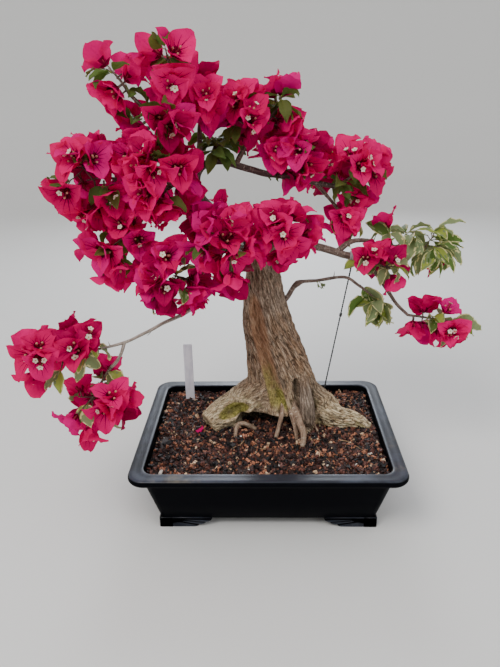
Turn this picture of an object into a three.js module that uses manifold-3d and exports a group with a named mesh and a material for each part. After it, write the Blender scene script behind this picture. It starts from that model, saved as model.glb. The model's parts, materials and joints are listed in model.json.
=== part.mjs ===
// Bougainvillea bonsai in a shallow rectangular pot, in millimetres with +Z up.
// The middle of the pot is x = y = 0 and the surface that it stands on is z = 0.
// The front is towards -Y. The finished group is moved so that its origin is the
// middle of the underside of its bounding box.
import * as THREE from "three";
import { mergeVertices } from "three/addons/utils/BufferGeometryUtils.js";
import Module from "manifold-3d";

const wasm = await Module();
wasm.setup();

// Clearance left between pieces that touch.
const GAP = 0.3;

// Pot: half sizes of its rim, its heights, and how far the wall stands inside the rim.
const RIM_HALF = { x: 205, y: 160 };
const RIM_CORNER = 26;
const SMALLEST_CORNER = 6;
const CORNER_SHRINK = 0.45;
const CORNER_STEPS = 2;
const POT_HEIGHT = 110;
const LIP_WIDTH = 22;
const LIP_DEPTH = 12;
const BEAD = 3;
const WALL_INSET = { top: 17, foot: 40 };
const WALL = 7;
const FLOOR = { z: 14, thick: 7 };
const LIP_SLOPE_START = 8;
const FOOT = { lengthX: 82, lengthY: 62, thick: 20, sunk: 3, proud: 2 };

// Soil fills the pot to just below the rim. Its top is lumpy: every other corner of a grid
// lies lower, except round the trunk and the label, which stand on its highest level.
const SOIL_TOP = 100;
const LUMPS = { spacing: 28, countX: 7, countY: 5, high: 0.8, low: 3.6, seed: 5 };
const FIRM = [{ x: 24, y: 45, halfX: 112, halfY: 92 }, { x: -140, y: 105, halfX: 30, halfY: 30 }];

// Trunk: its outline from under the soil line, where it is cut, to the fork.
const TRUNK_SIDES = 20;
const TRUNK_Y = 45;
const TRUNK_LEVELS = [
  { z: 96, x: 24, halfX: 92, halfY: 66 },
  { z: 112, x: 22, halfX: 82, halfY: 60 },
  { z: 130, x: 22, halfX: 70, halfY: 54 },
  { z: 152, x: 25, halfX: 61, halfY: 50 },
  { z: 182, x: 25, halfX: 55, halfY: 46 },
  { z: 224, x: 16, halfX: 48, halfY: 41 },
  { z: 271, x: 2, halfX: 41, halfY: 36 },
  { z: 317, x: -4, halfX: 34, halfY: 30 },
  { z: 360, x: -5, halfX: 27, halfY: 24 },
  { z: 388, x: -8, halfX: 22, halfY: 20 },
  { z: 406, x: -12, halfX: 14, halfY: 13 },
];
const FLUTES = { count: 5, depth: 0.09, twist: 0.03, fadeHeight: 320 };

// Surface roots: points on the way out, and the radius at each end. A free root stands clear
// of the trunk's foot, which lies back over the soil behind it.
const ROOT_SIDES = 7;
const ROOTS = [
  { via: [[48, 42, 150], [92, 37, 122], [114, 20, 112], [143, 19, 107], [173, 8, 99]], radius: [34, 8] },
  { via: [[0, 42, 150], [-46, 36, 124], [-76, 22, 116], [-98, 8, 106]], radius: [40, 19] },
  { via: [[58, 20, 196], [63, 2, 160], [64, -10, 128], [63, -14, 98]], radius: [6, 12] },
  { via: [[30, 14, 158], [23, -12, 132], [14, -28, 98]], radius: [6, 3.5], free: true },
  { via: [[40, 12, 150], [51, -18, 130], [58, -38, 114], [55, -52, 98]], radius: [9, 4.5], free: true },
  { via: [[-19, 4, 98], [-34, 0, 114], [-47, 2, 117], [-52, -22, 98]], radius: [5, 4], free: true },
  { via: [[20, 84, 150], [2, 104, 122], [-14, 122, 98]], radius: [26, 10] },
];

// A worn channel runs down the front of the trunk, cut by a tube that lies partly outside
// the bark. Oval bodies cut the hollow in the left root, and the foot back between the roots.
const CHANNEL = {
  via: [[-32, 8, 352], [-21, 10, 304], [-12, 6, 258], [-5, 1, 223], [3, -4, 190], [14, -12, 156],
    [24, -24, 128]],
  radius: [14, 19], sides: 9,
};
const HOLLOW = { heart: [-58, -1, 136], half: [33, 14, 14], lean: 0.34, turn: 0.19 };
const UNDERCUT = { heart: [4, -20, 96], half: [50, 52, 31], lean: 0, turn: 0 };

// Limbs, each with the mass that its tip feeds. A main limb runs through the points listed
// for it. A side limb leaves its parent at the given share of the parent's length, or the
// trunk at its own start, and arches by its lift on the way to its mass.
const MAIN_LIMBS = [
  { name: "bough_arch_rise", parent: "trunk", radius: [10.5, 7.5],
    via: [[-14, 45, 380], [-33, 45, 404], [-76, 45, 451], [-99, 48, 477], [-108, 50, 496]] },
  { name: "bough_arch_over", parent: "bough_arch_rise", feeds: "bloom_right_end", radius: [7, 4],
    via: [[-107, 50, 490], [-103, 55, 510], [-88, 60, 523], [-62, 64, 526], [-20, 72, 511],
      [53, 80, 495], [112, 90, 482]] },
  { name: "bough_right", parent: "trunk", feeds: "bloom_right_cut", radius: [8, 5.2],
    via: [[-6, 45, 388], [26, 45, 411], [60, 45, 404], [99, 48, 392], [148, 53, 376]] },
  { name: "bough_right_drop", parent: "bough_right", feeds: "bloom_right_tip", radius: [3.8, 2.4],
    via: [[144, 53, 377], [164, 55, 363], [186, 58, 335], [210, 60, 300], [231, 60, 279]] },
  { name: "bough_low_right", parent: "trunk", feeds: "leaves_right_hang", radius: [4.8, 2.4],
    via: [[6, 44, 296], [31, 44, 315], [49, 40, 341], [80, 36, 347], [122, 35, 352], [146, 42, 336]] },
  { name: "bough_low_left", parent: "trunk", feeds: "bloom_low_left_mid", radius: [4.6, 2.4],
    via: [[-16, 42, 380], [-71, 10, 349], [-114, -30, 323], [-150, -62, 315], [-197, -105, 304],
      [-236, -122, 300]] },
];
const SIDE_LIMBS = [
  { name: "bough_low_left_drop", parent: "bough_low_left", at: 0.8, feeds: "bloom_low_left_low", lift: -6 },
  { name: "bough_left_rise", parent: "bough_arch_rise", at: 0.8, feeds: "bloom_left_inner", lift: 8 },
  { name: "bough_left", parent: "bough_left_rise", at: 0.55, feeds: "bloom_left", lift: 14 },
  { name: "bough_leader", parent: "bough_arch_rise", at: 0.95, feeds: "bloom_upper_left", lift: 4 },
  { name: "bough_top_left", parent: "bough_leader", at: 0.5, feeds: "bloom_top_left", lift: 6 },
  { name: "bough_top_right", parent: "bough_leader", at: 0.8, feeds: "bloom_top_right", lift: 6 },
  { name: "bough_crown_left", parent: "bough_arch_over", at: 0.2, feeds: "bloom_crown_left", lift: 6 },
  { name: "bough_crown_mid", parent: "bough_arch_over", at: 0.42, feeds: "bloom_crown_mid", lift: 6 },
  { name: "bough_crown_right", parent: "bough_arch_over", at: 0.58, feeds: "bloom_crown_right", lift: 8 },
  { name: "bough_right_upper", parent: "bough_arch_over", at: 0.72, feeds: "bloom_right_upper", lift: 2 },
  { name: "bough_right_under", parent: "bough_arch_over", at: 0.9, feeds: "bloom_right_under", lift: 0 },
  { name: "bough_right_back", parent: "bough_right", at: 0.8, feeds: "leaves_right", lift: 14 },
  { name: "bough_left_hang", parent: "bough_left_rise", at: 0.35, feeds: "bloom_left_hang", lift: 22 },
  { name: "bough_lower_left", parent: "bough_low_left", at: 0.25, feeds: "bloom_lower_left", lift: 12 },
  { name: "bough_centre_front", start: [-14, 36, 388], feeds: "bloom_centre_front", lift: 6 },
  { name: "bough_centre_right", start: [-4, 36, 392], feeds: "bloom_centre_right", lift: 4 },
  { name: "bough_inner", parent: "bough_arch_over", at: 0.12, feeds: "leaves_inner", lift: 3 },
  { name: "bough_back_left", parent: "bough_arch_rise", at: 0.7, feeds: "bloom_back_left", lift: 14 },
  { name: "bough_back_low", start: [-10, 58, 372], feeds: "bloom_back_low", lift: 14 },
  { name: "bough_back_top", parent: "bough_arch_over", at: 0.36, feeds: "bloom_back_top", lift: 10 },
  { name: "bough_back_right", parent: "bough_arch_over", at: 0.8, feeds: "bloom_back_right", lift: 10 },
];
const MAIN = { sides: 8, steps: 2 };
const SIDE = { sides: 6, steps: 1, thinning: 0.8, taper: 0.55, tip: 2.4, fromTrunk: 6.5 };
const ENTRY = 0.72;
const DEEPEST_ENTRY = 0.6;

// Masses of bloom and leaf: the heart of each, how far it reaches from there along x, y and
// z, and how many flower clusters and leaves it is to carry.
const MASSES = [
  { name: "bloom_top_left", heart: [-203, -10, 652], reach: [54, 50, 50], blooms: 4, leaves: 2 },
  { name: "bloom_top_right", heart: [-128, 0, 666], reach: [50, 50, 56], blooms: 4, leaves: 2 },
  { name: "bloom_upper_left", heart: [-150, 0, 596], reach: [62, 58, 52], blooms: 5, leaves: 3 },
  { name: "bloom_left", heart: [-243, -20, 512], reach: [72, 64, 68], blooms: 8, leaves: 4 },
  { name: "bloom_left_inner", heart: [-145, -28, 512], reach: [68, 62, 74], blooms: 8, leaves: 2 },
  { name: "bloom_left_hang", heart: [-220, -26, 420], reach: [62, 54, 62], blooms: 6, leaves: 4 },
  { name: "bloom_lower_left", heart: [-128, -52, 382], reach: [64, 58, 64], blooms: 7, leaves: 3 },
  { name: "bloom_centre_front", heart: [-64, -46, 420], reach: [70, 58, 68], blooms: 8, leaves: 3 },
  { name: "bloom_centre_right", heart: [27, -22, 440], reach: [60, 54, 56], blooms: 6, leaves: 2 },
  { name: "bloom_crown_left", heart: [-90, 46, 624], reach: [58, 58, 50], blooms: 5, leaves: 2 },
  { name: "bloom_crown_mid", heart: [-30, 58, 594], reach: [56, 58, 52], blooms: 5, leaves: 2 },
  { name: "bloom_crown_right", heart: [22, 72, 606], reach: [48, 56, 52], blooms: 4, leaves: 3 },
  { name: "bloom_right_upper", heart: [44, 78, 528], reach: [60, 60, 54], blooms: 6, leaves: 3 },
  { name: "bloom_right_end", heart: [142, 98, 502], reach: [66, 56, 62], blooms: 6, leaves: 4 },
  { name: "bloom_right_under", heart: [134, 94, 424], reach: [48, 50, 50], blooms: 3, leaves: 3 },
  { name: "leaves_right", heart: [240, 120, 386], reach: [98, 72, 60], blooms: 3, leaves: 16 },
  { name: "bloom_right_cut", heart: [190, 42, 364], reach: [64, 52, 50], blooms: 4, leaves: 3 },
  { name: "leaves_right_hang", heart: [178, 52, 304], reach: [48, 44, 46], blooms: 0, leaves: 8 },
  { name: "bloom_right_tip", heart: [292, 60, 270], reach: [72, 54, 46], blooms: 6, leaves: 6 },
  { name: "bloom_low_left_mid", heart: [-280, -135, 290], reach: [80, 60, 60], blooms: 7, leaves: 4 },
  { name: "bloom_low_left_low", heart: [-243, -130, 228], reach: [76, 60, 74], blooms: 7, leaves: 5 },
  { name: "leaves_inner", heart: [-68, 62, 552], reach: [62, 56, 44], blooms: 0, leaves: 9 },
  { name: "bloom_back_left", heart: [-183, 108, 520], reach: [68, 60, 62], blooms: 4, leaves: 4 },
  { name: "bloom_back_low", heart: [-70, 126, 420], reach: [64, 60, 54], blooms: 4, leaves: 3 },
  { name: "bloom_back_top", heart: [-34, 152, 588], reach: [60, 56, 50], blooms: 4, leaves: 4 },
  { name: "bloom_back_right", heart: [112, 184, 500], reach: [62, 58, 56], blooms: 4, leaves: 3 },
];
const FIRST_SEED = 1201;
const SEED_STEP = 97;
const TRIES_PER_PIECE = 240;
const SHALLOWEST = 0.97;
const DEEPEST = 0.45;
const DEEPER_EACH_TRY = 0.0005;
const BLADE_SPACING = 5.5;
const LIMB_CLEARANCE = 1.5;
const CELL_MARGIN = 0.6;
const NEARBY = 1.6;

// A cluster is up to three bracts that open round the end of a twig. A bract or a leaf is
// one thin blade with a six-cornered outline, folded along its midrib.
const BRACT = {
  length: 46, width: 40, fold: 2.8, near: { at: 0.22, wide: 0.74 }, far: { at: 0.6, wide: 0.88 },
};
const LEAF = {
  length: 44, width: 25, fold: 2, near: { at: 0.25, wide: 0.8 }, far: { at: 0.62, wide: 0.8 },
};
const BRACTS_IN_CLUSTER = 3;
const BRACT_TILT = 0.9;
const LEAF_ROLL = 0.3;
const TWIG_SIDES = 3;
const STEM = { radius: 2.8, knots: [0.15, 0.4, 0.65, 0.9], overrun: 1.1 };
const TWIG = { thinning: 0.5, thinnest: 0.8, knots: [0.4, 0.75], longest: 14 };
const STUB = { blooms: 5, leaves: 2 };
const SHORTEST_TWIG = { blooms: 5, leaves: 12 };
const FEWEST_BLADES = { blooms: 2, leaves: 1 };

// Bare plant label, and the wire that holds the right bough down to a root.
const LABEL = { x: -140, y: 105, width: 16, thick: 1, height: 109 };
const WIRE = { top: [136, 49, 382], foot: [94, 44, 134], radius: 1, sides: 6 };

const LOOKS = {
  pot: { color: "#15171f", roughness: 0.32, metalness: 0 },
  soil: { color: "#5b4032", roughness: 0.95, metalness: 0 },
  bark: { color: "#8f7458", roughness: 0.9, metalness: 0 },
  bloom: { color: "#c01c5c", roughness: 0.65, metalness: 0 },
  leaf: { color: "#6d7536", roughness: 0.6, metalness: 0 },
  label: { color: "#e6e2ee", roughness: 0.5, metalness: 0 },
  wire: { color: "#17171a", roughness: 0.6, metalness: 0 },
};

const UP = new THREE.Vector3(0, 0, 1);
const RIGHT = new THREE.Vector3(1, 0, 0);
const vector = (list) => new THREE.Vector3(...list);
const mix = (a, b, share) => a + (b - a) * share;

// Numbers between 0 and 1 that are the same for the same seed.
function seeded(seed) {
  let state = seed >>> 0;
  return () => {
    state = (Math.imul(state, 1664525) + 1013904223) >>> 0;
    return state / 4294967296;
  };
}

// Solids

function signedVolume(position, faces) {
  const corner = (k) => new THREE.Vector3().fromBufferAttribute(position, faces[k]);
  let volume = 0;
  for (let k = 0; k < faces.length; k += 3) {
    volume += corner(k).dot(corner(k + 1).cross(corner(k + 2)));
  }
  return volume;
}

// A closed geometry as a solid. One that is inside out, as a mirrored one is, is turned round.
function toSolid(geometry) {
  geometry.deleteAttribute("normal");
  geometry.deleteAttribute("uv");
  const merged = mergeVertices(geometry, 1e-4);
  const { position } = merged.attributes;
  const faces = Uint32Array.from(merged.index.array);
  if (signedVolume(position, faces) < 0) {
    faces.reverse();
  }
  return new wasm.Manifold(new wasm.Mesh({
    numProp: 3, vertProperties: Float32Array.from(position.array), triVerts: faces,
  }));
}

function toGeometry(solid) {
  const { vertProperties, triVerts } = solid.getMesh();
  const geometry = new THREE.BufferGeometry();
  geometry.setAttribute("position", new THREE.BufferAttribute(vertProperties, 3));
  geometry.setIndex(new THREE.BufferAttribute(triVerts, 1));
  geometry.computeVertexNormals();
  return geometry;
}

function block(width, depth, height, x, y, z) {
  const geometry = new THREE.BoxGeometry(width, depth, height);
  geometry.translate(x, y, z);
  return toSolid(geometry);
}

// Closed skin over a row of rings that all have the same number of points.
function ringed(rings) {
  const count = rings[0].length;
  const last = (rings.length - 1) * count;
  const faces = [];
  for (let k = 0; k + 1 < rings.length; k += 1) {
    for (let i = 0; i < count; i += 1) {
      const here = k * count + i;
      const next = k * count + ((i + 1) % count);
      faces.push(here, next, next + count, here, next + count, here + count);
    }
  }
  for (let i = 1; i + 1 < count; i += 1) {
    faces.push(0, i + 1, i, last, last + i, last + i + 1);
  }
  const geometry = new THREE.BufferGeometry().setFromPoints(rings.flat());
  geometry.setIndex(faces);
  return toSolid(geometry);
}

// Two directions square to an axis and to each other.
function squareTo(axis) {
  const rough = Math.abs(axis.z) < 0.9 ? UP.clone() : RIGHT.clone();
  const first = rough.addScaledVector(axis, -rough.dot(axis)).normalize();
  return [first, axis.clone().cross(first)];
}

// Round tube through the points, with its own radius at each.
function tube(points, radii, sides) {
  let [across] = squareTo(points[1].clone().sub(points[0]).normalize());
  const rings = points.map((point, k) => {
    const before = points[Math.max(k - 1, 0)];
    const after = points[Math.min(k + 1, points.length - 1)];
    const along = after.clone().sub(before).normalize();
    across = across.clone().addScaledVector(along, -across.dot(along)).normalize();
    const up = along.clone().cross(across);
    return Array.from({ length: sides }, (_, i) => {
      const turn = (2 * Math.PI * i) / sides;
      return point.clone()
        .addScaledVector(across, radii[k] * Math.cos(turn))
        .addScaledVector(up, radii[k] * Math.sin(turn));
    });
  });
  return ringed(rings);
}

// Even steps along the smooth curve through a few points.
function smoothPath(points, steps) {
  const curve = new THREE.CatmullRomCurve3(points, false, "catmullrom", 0.5);
  return curve.getPoints((points.length - 1) * steps);
}

function tapered(path, radius, grow = 0) {
  return path.map((_, k) => mix(radius[0], radius[1], k / (path.length - 1)) + grow);
}

// The largest body of a solid: any sealed hollow is filled and loose scraps are left out.
function mainBody(solid) {
  return solid.decompose().sort((a, b) => b.volume() - a.volume())[0];
}

function boxesMeet(a, b) {
  const boxA = a.boundingBox();
  const boxB = b.boundingBox();
  return [0, 1, 2].every((i) => boxA.min[i] < boxB.max[i] && boxB.min[i] < boxA.max[i]);
}

function cutClear(solid, others) {
  let rest = solid;
  for (const other of others) {
    if (boxesMeet(rest, other) && !rest.intersect(other).isEmpty()) {
      rest = rest.subtract(other);
    }
  }
  return mainBody(rest);
}

// Pot and soil

// Outline of the pot at a height, a distance inside the edge of its rim.
function potRing(inset, z) {
  const halfX = RIM_HALF.x - inset;
  const halfY = RIM_HALF.y - inset;
  const corner = Math.max(RIM_CORNER - inset * CORNER_SHRINK, SMALLEST_CORNER);
  const quarter = Math.PI / 2;
  const outline = new THREE.Shape();
  outline.absarc(halfX - corner, halfY - corner, corner, 0, quarter, false);
  outline.absarc(corner - halfX, halfY - corner, corner, quarter, 2 * quarter, false);
  outline.absarc(corner - halfX, corner - halfY, corner, 2 * quarter, 3 * quarter, false);
  outline.absarc(halfX - corner, corner - halfY, corner, 3 * quarter, 4 * quarter, false);
  return outline.getPoints(CORNER_STEPS).map((p) => new THREE.Vector3(p.x, p.y, z));
}

// Space inside the pot, made smaller all round by a clearance.
function potInside(clearance, top) {
  const floor = FLOOR.z + FLOOR.thick;
  const under = POT_HEIGHT - LIP_DEPTH;
  const slope = (WALL_INSET.foot - WALL_INSET.top) / (under - FLOOR.z);
  const foot = WALL_INSET.foot - slope * FLOOR.thick;
  return ringed([
    potRing(foot + WALL + clearance, floor + clearance),
    potRing(WALL_INSET.top + WALL + clearance, SOIL_TOP - LIP_SLOPE_START),
    potRing(LIP_WIDTH + clearance, POT_HEIGHT),
    potRing(LIP_WIDTH + clearance, POT_HEIGHT + BEAD),
  ]).subtract(block(3 * RIM_HALF.x, 3 * RIM_HALF.y, POT_HEIGHT, 0, 0, top + POT_HEIGHT / 2));
}

// One leg of a corner foot, from the corner inwards: its lower edge rises in two scrolls.
function footLeg(length, ahead, inwards, corner) {
  const top = FLOOR.z + FOOT.sunk;
  const outline = new THREE.Shape();
  outline.moveTo(0, 0);
  outline.lineTo(length * 0.62, 0);
  outline.quadraticCurveTo(length * 0.74, 0, length * 0.74, top * 0.3);
  outline.quadraticCurveTo(length * 0.86, top * 0.25, length * 0.88, top * 0.55);
  outline.quadraticCurveTo(length * 0.98, top * 0.55, length, top);
  outline.lineTo(0, top);
  const size = { depth: FOOT.thick, bevelEnabled: false, curveSegments: 3 };
  const leg = new THREE.ExtrudeGeometry(outline, size);
  leg.applyMatrix4(new THREE.Matrix4().makeBasis(ahead, UP, inwards));
  leg.translate(corner.x, corner.y, 0);
  return toSolid(leg);
}

function buildPot() {
  const under = POT_HEIGHT - LIP_DEPTH;
  let pot = ringed([
    potRing(WALL_INSET.foot, FLOOR.z),
    potRing(WALL_INSET.top, under),
    potRing(BEAD, under + 1),
    potRing(0, under + BEAD),
    potRing(0, POT_HEIGHT - BEAD),
    potRing(BEAD, POT_HEIGHT),
  ]).subtract(potInside(0, POT_HEIGHT + 1));
  const inset = WALL_INSET.foot - FOOT.proud;
  for (const sideX of [-1, 1]) {
    for (const sideY of [-1, 1]) {
      const corner = { x: sideX * (RIM_HALF.x - inset), y: sideY * (RIM_HALF.y - inset) };
      const alongX = new THREE.Vector3(-sideX, 0, 0);
      const alongY = new THREE.Vector3(0, -sideY, 0);
      pot = pot.add(footLeg(FOOT.lengthX, alongX, alongY, corner));
      pot = pot.add(footLeg(FOOT.lengthY, alongY, alongX, corner));
    }
  }
  return pot;
}

// Height of the soil at a corner of its grid.
function lumpHeight(i, j, random) {
  const x = i * LUMPS.spacing;
  const y = j * LUMPS.spacing;
  const drop = ((i + j) % 2 === 0 ? LUMPS.high : LUMPS.low) * (0.5 + 0.5 * random());
  const firm = FIRM.some((place) => Math.hypot((x - place.x) / place.halfX, (y - place.y) / place.halfY) < 1);
  return firm ? SOIL_TOP : SOIL_TOP - drop;
}

function buildSoil() {
  const random = seeded(LUMPS.seed);
  const { spacing, countX, countY } = LUMPS;
  const rings = [];
  for (let i = -countX; i <= countX; i += 1) {
    const x = i * spacing;
    const ring = [new THREE.Vector3(x, countY * spacing, 0), new THREE.Vector3(x, -countY * spacing, 0)];
    for (let j = -countY; j <= countY; j += 1) {
      ring.push(new THREE.Vector3(x, j * spacing, lumpHeight(i, j, random)));
    }
    rings.push(ring);
  }
  return mainBody(ringed(rings).intersect(potInside(GAP, POT_HEIGHT)));
}

// Trunk with its roots, cut flat at the soil

function trunkRing(level, grow) {
  const height = level.z - SOIL_TOP;
  const depth = FLUTES.depth * Math.max(0, 1 - height / FLUTES.fadeHeight);
  return Array.from({ length: TRUNK_SIDES }, (_, i) => {
    const turn = (2 * Math.PI * i) / TRUNK_SIDES;
    const flute = 1 + depth * Math.cos(FLUTES.count * turn + FLUTES.twist * height);
    const x = level.x + (level.halfX * flute + grow) * Math.cos(turn);
    const y = TRUNK_Y + (level.halfY * flute + grow) * Math.sin(turn);
    return new THREE.Vector3(x, y, level.z);
  });
}

function ovalSolid({ heart, half, lean, turn }, grow) {
  const oval = new THREE.SphereGeometry(1, 10, 6);
  oval.scale(...half.map((reach) => reach - grow));
  oval.rotateY(-lean);
  oval.rotateZ(turn);
  oval.translate(...heart);
  return toSolid(oval);
}

function rootSolid(root, grow) {
  const path = smoothPath(root.via.map(vector), 1);
  return tube(path, tapered(path, root.radius, grow), ROOT_SIDES);
}

function buildTrunk(grow) {
  let trunk = ringed(TRUNK_LEVELS.map((level) => trunkRing(level, grow)));
  for (const root of ROOTS.filter(({ free }) => !free)) {
    trunk = trunk.add(rootSolid(root, grow));
  }
  const channel = smoothPath(CHANNEL.via.map(vector), 1);
  trunk = trunk.subtract(tube(channel, tapered(channel, CHANNEL.radius, -grow), CHANNEL.sides));
  trunk = trunk.subtract(ovalSolid(HOLLOW, grow));
  trunk = trunk.subtract(ovalSolid(UNDERCUT, grow));
  for (const root of ROOTS.filter(({ free }) => free)) {
    trunk = trunk.add(rootSolid(root, grow));
  }
  const cut = SOIL_TOP + GAP - grow;
  return mainBody(trunk.subtract(block(4 * RIM_HALF.x, 4 * RIM_HALF.y, cut, 0, 0, cut / 2)));
}

// Limbs

// How far out from the heart of a mass a point lies: 1 is the edge of its reach.
function outness(mass, point) {
  return point.clone().sub(mass.heart).divide(mass.reach).length();
}

function mainRoute(limb) {
  return { ...limb, path: smoothPath(limb.via.map(vector), MAIN.steps), sides: MAIN.sides };
}

// A side limb ends just inside its mass, on the straight way to the heart.
function sideRoute(limb, parent, mass) {
  const along = parent ? limb.at * (parent.path.length - 1) : 0;
  const whole = Math.floor(along);
  const start = parent
    ? parent.path[whole].clone().lerp(parent.path[whole + 1], along - whole)
    : vector(limb.start);
  const end = mass.heart.clone().lerp(start, Math.min(ENTRY / outness(mass, start), DEEPEST_ENTRY));
  const early = start.clone().lerp(end, 0.35).addScaledVector(UP, limb.lift);
  const late = start.clone().lerp(end, 0.7).addScaledVector(UP, 0.8 * limb.lift);
  const base = parent ? mix(parent.radius[0], parent.radius[1], limb.at) * SIDE.thinning : SIDE.fromTrunk;
  return {
    ...limb,
    path: smoothPath([start, early, late, end], SIDE.steps),
    radius: [base, Math.max(SIDE.tip, base * SIDE.taper)],
    sides: SIDE.sides,
  };
}

function routeLimbs(masses) {
  const routes = new Map(MAIN_LIMBS.map((limb) => [limb.name, mainRoute(limb)]));
  for (const limb of SIDE_LIMBS) {
    const mass = masses.find(({ name }) => name === limb.feeds);
    routes.set(limb.name, sideRoute(limb, routes.get(limb.parent), mass));
  }
  return [...routes.values()];
}

function limbSolid(route, grow = 0) {
  return tube(route.path, tapered(route.path, route.radius, grow), route.sides);
}

function limbSegments(route) {
  const radii = tapered(route.path, route.radius);
  return route.path.slice(1).map((to, k) => ({ from: route.path[k], to, radius: radii[k] }));
}

// Masses

// Neighbouring masses are kept apart by a plane between their hearts, so the space of a
// mass is its own ellipsoid, cut by those planes.
function planesAround(mass, masses) {
  return masses.filter((other) => other !== mass).map((other) => {
    const normal = other.heart.clone().sub(mass.heart);
    const distance = normal.length();
    normal.normalize();
    const own = normal.clone().multiply(mass.reach).length();
    const theirs = normal.clone().multiply(other.reach).length();
    const limit = normal.dot(mass.heart) + (distance * own) / (own + theirs) - CELL_MARGIN;
    return { normal, limit };
  });
}

function inSpace(mass, point) {
  return outness(mass, point) <= 1 && mass.planes.every(({ normal, limit }) => normal.dot(point) <= limit);
}

function distanceToLine(from, to, point) {
  return new THREE.Line3(from, to).closestPointToPoint(point, true, new THREE.Vector3()).distanceTo(point);
}

function clearOf(obstacles, point) {
  return obstacles.every(({ from, to, radius }) => distanceToLine(from, to, point) > radius + LIMB_CLEARANCE);
}

// A blade grows from its base along one way and is widest across its side way. Its edges
// stand off the midrib by the fold. Corners: base, up the left edge, tip, down the right.
function bladeCorners(blade, base, along, side) {
  const face = along.clone().cross(side);
  const corner = (share, across) => base.clone()
    .addScaledVector(along, share * blade.length)
    .addScaledVector(side, (across * blade.width) / 2)
    .addScaledVector(face, across === 0 ? 0 : -blade.fold);
  const { near, far } = blade;
  return [
    corner(0, 0),
    corner(near.at, near.wide), corner(far.at, far.wide),
    corner(1, 0),
    corner(far.at, -far.wide), corner(near.at, -near.wide),
  ];
}

// One skin is creased along the midrib and the other runs straight across between the edges.
const CREASED_SKIN = [0, 1, 2, 0, 2, 3, 0, 3, 4, 0, 4, 5];
const STRAIGHT_SKIN = [0, 5, 1, 1, 5, 4, 1, 4, 2, 2, 4, 3];

function bladeSolid(corners) {
  const geometry = new THREE.BufferGeometry().setFromPoints(corners);
  geometry.setIndex([...CREASED_SKIN, ...STRAIGHT_SKIN]);
  return toSolid(geometry);
}

// Points spread over a blade, to test where it reaches.
function bladeSamples([base, nearLeft, farLeft, tip, farRight, nearRight]) {
  const between = (a, b, share) => a.clone().lerp(b, share);
  const samples = [nearLeft, farLeft, tip, farRight, nearRight];
  for (const [near, far] of [[nearLeft, farLeft], [nearRight, farRight]]) {
    samples.push(between(near, far, 0.5), between(far, tip, 0.5));
  }
  for (const share of [0.25, 0.42, 0.6, 0.8]) {
    samples.push(between(base, tip, share));
  }
  for (const share of [0.25, 0.75]) {
    samples.push(between(farLeft, farRight, share), between(nearLeft, nearRight, share));
  }
  return samples;
}

// The bracts stand over the middles of the flat sides of the twig's end.
function clusterBlades(base, axis) {
  const [first, second] = squareTo(axis);
  return Array.from({ length: BRACTS_IN_CLUSTER }, (_, k) => {
    const turn = (2 * Math.PI * (k + 0.5)) / BRACTS_IN_CLUSTER;
    const out = first.clone().multiplyScalar(Math.cos(turn)).addScaledVector(second, Math.sin(turn));
    const along = axis.clone().multiplyScalar(Math.cos(BRACT_TILT));
    along.addScaledVector(out, Math.sin(BRACT_TILT));
    return bladeCorners(BRACT, base, along, along.clone().cross(out).normalize());
  });
}

function leafBlades(base, axis) {
  const [first, second] = squareTo(axis);
  return [bladeCorners(LEAF, base, axis, second.addScaledVector(first, LEAF_ROLL).normalize())];
}

const KINDS = {
  blooms: { make: clusterBlades, reach: BRACT.length * Math.cos(BRACT_TILT) },
  leaves: { make: leafBlades, reach: LEAF.length },
};

// The k-th of a row of directions that fill the sphere evenly, however long the row is.
const PLASTIC = 1.324717957244746;
function evenDirection(k, random) {
  const height = 2 * ((0.5 + k / PLASTIC) % 1) - 1;
  const turn = 2 * Math.PI * (((0.5 + k / (PLASTIC * PLASTIC)) % 1) + 0.1 * random());
  const flat = Math.sqrt(1 - height * height);
  return new THREE.Vector3(flat * Math.cos(turn), flat * Math.sin(turn), height);
}

// A piece that aims at a point grows from the nearest knot that leaves it room, on a
// straight twig. A leaf sits on the knot itself where its twig would be short.
function placePiece(kind, aim, knots) {
  const { make, reach } = KINDS[kind];
  let knot = null;
  for (const next of knots) {
    const distance = next.at.distanceTo(aim);
    if (distance > reach && (!knot || distance < knot.at.distanceTo(aim))) {
      knot = next;
    }
  }
  if (!knot) {
    return null;
  }
  const axis = aim.clone().sub(knot.at).normalize();
  if (knot.at.distanceTo(aim) - reach < SHORTEST_TWIG[kind]) {
    return kind === "blooms" ? null : { blades: make(knot.at, axis), twig: null };
  }
  const base = aim.clone().addScaledVector(axis, -reach);
  const to = base.clone().addScaledVector(axis, STUB[kind]);
  const radius = Math.max(TWIG.thinnest, knot.radius * TWIG.thinning);
  return { blades: make(base, axis), twig: { from: knot.at, base, to, radius } };
}

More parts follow.
